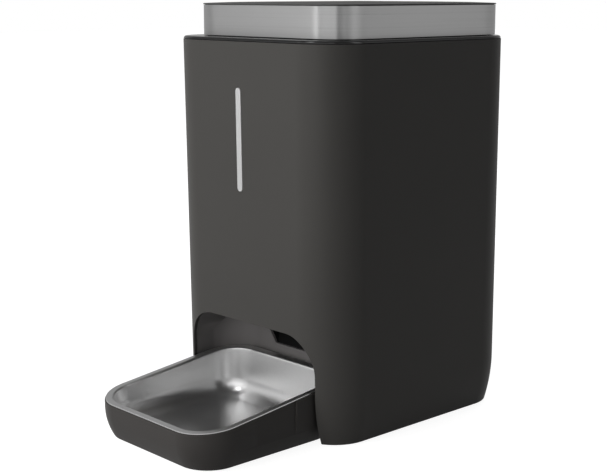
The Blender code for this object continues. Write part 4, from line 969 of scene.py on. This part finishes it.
def tray_ring(z, drawn=0.0):
    """The tray's outline at a height, drawn in by an amount."""
    inward = drawn + tuck(z, TRAY_TUCK_HEIGHT, TRAY_TUCK_DEPTH)
    return drawn_in(Ring(z, tray_high.x, tray_low.y, tray_high.y, TRAY_CORNER), inward)


def rim_ring(lift=0.0, drawn=0.0):
    """The tray's outline on the slope of its rim."""
    rim = Ring(rim_front + lift, tray_high.x, tray_low.y, tray_high.y, TRAY_CORNER, TRAY_RIM_SHARE)
    return drawn_in(rim, drawn)


def finger_grip(side):
    """The block that one grip takes out of the tray: a ramp at its front and a step at its back."""
    inner = side * (tray_high.x - GRIP_DEPTH)
    outer = side * (tray_high.x + CUT_PAST)
    front = tray_low.y + GRIP_SETBACK
    back = front + GRIP_LENGTH
    plan = [
        (inner, back),
        (inner, front + GRIP_RAMP),
        (outer, front - GRIP_RAMP * CUT_PAST / GRIP_DEPTH),
        (outer, back),
    ]
    work = bmesh.new()
    floor = [work.verts.new((x, y, tray_low.z - CUT_PAST)) for x, y in plan]
    roof = [work.verts.new((x, y, tray_high.z + CUT_PAST)) for x, y in plan]
    work.faces.new(floor)
    work.faces.new(roof)
    for index, vertex in enumerate(floor):
        after = (index + 1) % len(plan)
        work.faces.new((vertex, floor[after], roof[after], roof[index]))
    return finished_mesh(work, "grip")


def tray_body():
    """The lofted wall and floor, with the two finger grips taken out of its sides."""
    span = TRAY_TUCK_HEIGHT - tray_low.z - TRAY_EDGE
    levels = [tray_low.z + TRAY_EDGE + span * step / TRAY_LEVELS for step in range(1, TRAY_LEVELS + 1)]
    rows = []
    for rise, run in quarter_turn(EDGE_STEPS):
        rows.append(tray_ring(tray_low.z + TRAY_EDGE * run, TRAY_EDGE * (1 - rise)))
    rows += [tray_ring(z) for z in levels] + [rim_ring(), rim_ring(drawn=TRAY_WALL)]
    rows += [tray_ring(z, TRAY_WALL) for z in reversed(levels)]
    rows.append(tray_ring(tray_low.z + TRAY_FLOOR, TRAY_WALL))
    holder = skin("tray_body", rows, pivot=tray_low.y)

    cut(holder, [finger_grip(-1), finger_grip(1)])
    return edge_rounded(holder, TRAY_SOFT_EDGE, 3, TRAY_ROUNDED_FROM)


tray_plastic = moulded("satin charcoal tray", TRAY_CHARCOAL, SATIN, specular=SATIN_SPECULAR, unevenness=0.03)
tray = tray_body()
tray.data.materials.append(tray_plastic)
stand_for(tray, "tray")


# Bowl
# The dish is pressed from stainless sheet with soft corners and a flat flange that lies on
# the tray's rim. Its inside is satin polished, so it mirrors its own walls as soft streaks.
BOWL_WALL = 0.0008
BOWL_FLANGE = 0.0056
BOWL_FLANGE_INSET = 0.0006
BOWL_DRAFT = 0.0020
BOWL_SWEEP = 0.0150
BOWL_CORNER_AT_FLOOR = 0.0120
FLANGE_BEND = 0.0018
FLANGE_BEND_STEPS = 6
SWEEP_STEPS = 14
SHEET_EDGE = 0.0002
SHEET_ROUNDED_FROM = math.radians(50)
BOWL_STROKES = (1600, 14, 1600)
BOWL_RELIEF = 0.0000006
BOWL_SPREAD = 0.05
BOWL_GREY = (0.72, 0.72, 0.72)

bowl_low, bowl_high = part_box("steel_bowl")


def bowl_skin(offset):
    """One face of the sheet from the floor up to the bend under the flange."""
    wall = BOWL_FLANGE_INSET + BOWL_FLANGE + BOWL_DRAFT - offset
    sweep = BOWL_SWEEP + offset
    base = tray_ring(TRAY_TUCK_HEIGHT)
    rows = []
    for rise, run in quarter_turn(SWEEP_STEPS):
        z = bowl_low.z + BOWL_WALL - offset + sweep * run
        row = drawn_in(base, wall + sweep * (1 - rise), z)
        rows.append(row._replace(corner=max(row.corner, BOWL_CORNER_AT_FLOOR)))
    return rows


def steel_dish():
    """Outer face up, flange out and back, inner face down, with the flange bent over a radius."""
    inner_edge = BOWL_FLANGE_INSET + BOWL_FLANGE
    top = SEAT_GAP + BOWL_WALL
    bend = []
    for rise, run in quarter_turn(FLANGE_BEND_STEPS):
        bend.append(rim_ring(top - FLANGE_BEND * run, inner_edge - FLANGE_BEND + FLANGE_BEND * rise))
    rows = bowl_skin(BOWL_WALL)
    rows += [rim_ring(SEAT_GAP, inner_edge - BOWL_WALL), rim_ring(SEAT_GAP, BOWL_FLANGE_INSET)]
    rows.append(rim_ring(top, BOWL_FLANGE_INSET))
    rows += bend + bowl_skin(0.0)[::-1]
    return edge_rounded(skin("steel_dish", rows, pivot=tray_low.y), SHEET_EDGE, 2, SHEET_ROUNDED_FROM)


bowl_steel = brushed("satin bowl steel", BOWL_GREY, 0.26, BOWL_STROKES, BOWL_RELIEF, BOWL_SPREAD)
dish = steel_dish()
dish.data.materials.append(bowl_steel)
stand_for(dish, "steel_bowl")


# Camera, floor and lights
# The camera stands to the right of the front, a little above the lid, as in the photograph.
# The floor is pale and catches the feeder's shadow under a white surround.
CAMERA_PLACE = Vector((0.694163, -0.637516, 0.315719))
CAMERA_TURN = math.radians(47.189)
CAMERA_TILT = math.radians(90 - 9.739)
CAMERA_LENS = 76.15
CAMERA_SHIFT_UP = -0.04

camera = bpy.data.objects.new("camera", bpy.data.cameras.new("camera"))
bpy.context.scene.collection.objects.link(camera)
camera.location = CAMERA_PLACE
camera.rotation_euler = (CAMERA_TILT, 0, CAMERA_TURN)
camera.data.lens = CAMERA_LENS
camera.data.shift_y = CAMERA_SHIFT_UP
bpy.context.scene.camera = camera


REFLECTED_SURROUND = 0.34


def combined(tree, operation, first, second):
    """A math node of two values, each a socket or a number."""
    node = tree.nodes.new("ShaderNodeMath")
    node.operation = operation
    for index, value in enumerate((first, second)):
        if isinstance(value, bpy.types.NodeSocket):
            tree.links.new(value, node.inputs[index])
        else:
            node.inputs[index].default_value = value
    return node.outputs["Value"]


def seen_directly(tree):
    """1 on camera and transmission rays, which see the white surround, less in reflections, else 0."""
    path = tree.nodes.new("ShaderNodeLightPath")
    through = combined(tree, "MAXIMUM", path.outputs["Is Camera Ray"], path.outputs["Is Transmission Ray"])
    mirrored = combined(tree, "MULTIPLY", path.outputs["Is Glossy Ray"], REFLECTED_SURROUND)
    return combined(tree, "MAXIMUM", through, mirrored)


FLOOR_HALF = 8.0
FLOOR_GREY = 0.3
LIFT_NEAR = 0.9
LIFT_FAR = 1.02
LIFT_REACH = 2.4


def floor_material():
    """A pale floor that shows white where nothing shades it."""
    material, shader = new_material("pale floor", (FLOOR_GREY, FLOOR_GREY, FLOOR_GREY), 1.0, specular=0)
    tree = material.node_tree
    distance = tree.nodes.new("ShaderNodeVectorMath")
    distance.operation = "LENGTH"
    tree.links.new(tree.nodes.new("ShaderNodeTexCoord").outputs["Object"], distance.inputs[0])
    share = combined(tree, "DIVIDE", distance.outputs["Value"], LIFT_REACH)
    lift = remap(tree, share, LIFT_NEAR, LIFT_FAR)
    shader.inputs["Emission Color"].default_value = (1, 1, 1, 1)
    strength = combined(tree, "MULTIPLY", seen_directly(tree), lift)
    tree.links.new(strength, shader.inputs["Emission Strength"])
    return material


floor_mesh = bpy.data.meshes.new("floor")
floor_corners = [(x * FLOOR_HALF, y * FLOOR_HALF, 0) for x, y in ((-1, -1), (1, -1), (1, 1), (-1, 1))]
floor_mesh.from_pydata(floor_corners, [], [(0, 1, 2, 3)])
floor_mesh.materials.append(floor_material())
floor = bpy.data.objects.new("floor", floor_mesh)
bpy.context.scene.collection.objects.link(floor)

SURROUND_LIGHT = 0.12
OVERHEAD_REFLECTION = 0.4


def surround_world():
    """White to the camera, a dim even light, and in reflections white fading to grey overhead."""
    world = bpy.data.worlds.new("surround")
    world.use_nodes = True
    tree = world.node_tree
    background = tree.nodes["Background"]
    background.inputs["Color"].default_value = (1, 1, 1, 1)
    way = tree.nodes.new("ShaderNodeTexCoord").outputs["Generated"]
    split = tree.nodes.new("ShaderNodeSeparateXYZ")
    tree.links.new(way, split.inputs["Vector"])
    climb = remap(tree, split.outputs["Z"], 1.0, OVERHEAD_REFLECTION)
    path = tree.nodes.new("ShaderNodeLightPath")
    shown = tree.nodes.new("ShaderNodeMix")
    tree.links.new(path.outputs["Is Camera Ray"], shown.inputs["Factor"])
    tree.links.new(climb, shown.inputs["A"])
    shown.inputs["B"].default_value = 1.0
    strength = remap(tree, seen_directly(tree), SURROUND_LIGHT, shown.outputs["Result"])
    tree.links.new(strength, background.inputs["Strength"])
    return world


bpy.context.scene.world = surround_world()

# Each card's bearing, spread, lowest and highest climb are in degrees, seen from the origin.
CARD_DISTANCE = 1.15
CARDS = (
    ("card_far_left", -84, 40, 4, 44, 0.5),
    ("card_left", -47, 13, 0, 48, 0.73),
    ("card_streak", -36, 5, 0, 48, 2.5),
    ("card_front", 5, 66, 0, 26, 0.76),
    ("card_front_high", 5, 66, 26, 52, 1.3),
    ("card_front_right", 48, 16, 0, 32, 0.3),
    ("card_front_right_high", 48, 16, 34, 52, 1.5),
    ("card_right_front", 72, 15, 0, 48, 0.5),
    ("card_right", 92, 16, 0, 48, 0.5),
    ("card_right_back", 112.5, 26, 0, 22, 0.56),
    ("card_right_back_high", 112, 22, 26, 52, 2.0),
    ("card_side", 137.5, 8.6, 0, 40, 0.6),
    ("card_high", -21, 24, 54, 64, 8.0),
)


def reflection_card(name, bearing, spread, low_climb, high_climb, level):
    """An upright glowing card that only reflections see."""
    turn = math.radians(bearing)
    out = Vector((math.sin(turn), -math.cos(turn), 0)) * CARD_DISTANCE
    along = Vector((math.cos(turn), math.sin(turn), 0)) * CARD_DISTANCE * math.tan(math.radians(spread / 2))
    foot = Vector((0, 0, CARD_DISTANCE * math.tan(math.radians(low_climb))))
    head = Vector((0, 0, CARD_DISTANCE * math.tan(math.radians(high_climb))))
    corners = [out - along + foot, out + along + foot, out + along + head, out - along + head]
    mesh = bpy.data.meshes.new(name)
    mesh.from_pydata(corners, [], [(0, 1, 2, 3)])
    material = bpy.data.materials.new(name)
    material.use_nodes = True
    tree = material.node_tree
    tree.nodes.clear()
    glow = tree.nodes.new("ShaderNodeEmission")
    glow.inputs["Strength"].default_value = level
    out_node = tree.nodes.new("ShaderNodeOutputMaterial")
    tree.links.new(glow.outputs["Emission"], out_node.inputs["Surface"])
    mesh.materials.append(material)
    board = bpy.data.objects.new(name, mesh)
    bpy.context.scene.collection.objects.link(board)
    board.visible_camera = False
    board.visible_diffuse = False
    board.visible_shadow = False
    board.visible_transmission = False


for card in CARDS:
    reflection_card(*card)


LIGHT_TARGET = Vector((0, 0, 0.15))


def softbox(name, bearing, climb, distance, width, height, level):
    """A soft light aimed at the feeder, unseen in it. The level is what it adds to a face turned to it."""
    turn = math.radians(bearing)
    lift = math.radians(climb)
    way = Vector((math.sin(turn) * math.cos(lift), -math.cos(turn) * math.cos(lift), math.sin(lift)))
    light = bpy.data.lights.new(name, "AREA")
    light.shape = "RECTANGLE"
    light.size = width
    light.size_y = height
    light.energy = level * (math.pi * distance) ** 2
    lamp = bpy.data.objects.new(name, light)
    bpy.context.scene.collection.objects.link(lamp)
    lamp.location = LIGHT_TARGET + way * distance
    lamp.rotation_euler = (-way).to_track_quat("-Z", "Y").to_euler()
    lamp.visible_glossy = False


softbox("key_light", -14, 42, 1.9, 1.1, 1.1, 0.55)
softbox("front_fill", 8, 12, 2.0, 1.0, 0.8, 0.42)
softbox("left_light", -50, 15, 2.0, 1.1, 1.0, 0.28)
softbox("back_light", 200, 45, 2.2, 1.2, 1.0, 0.45)

scene = bpy.context.scene
scene.view_settings.view_transform = "Standard"
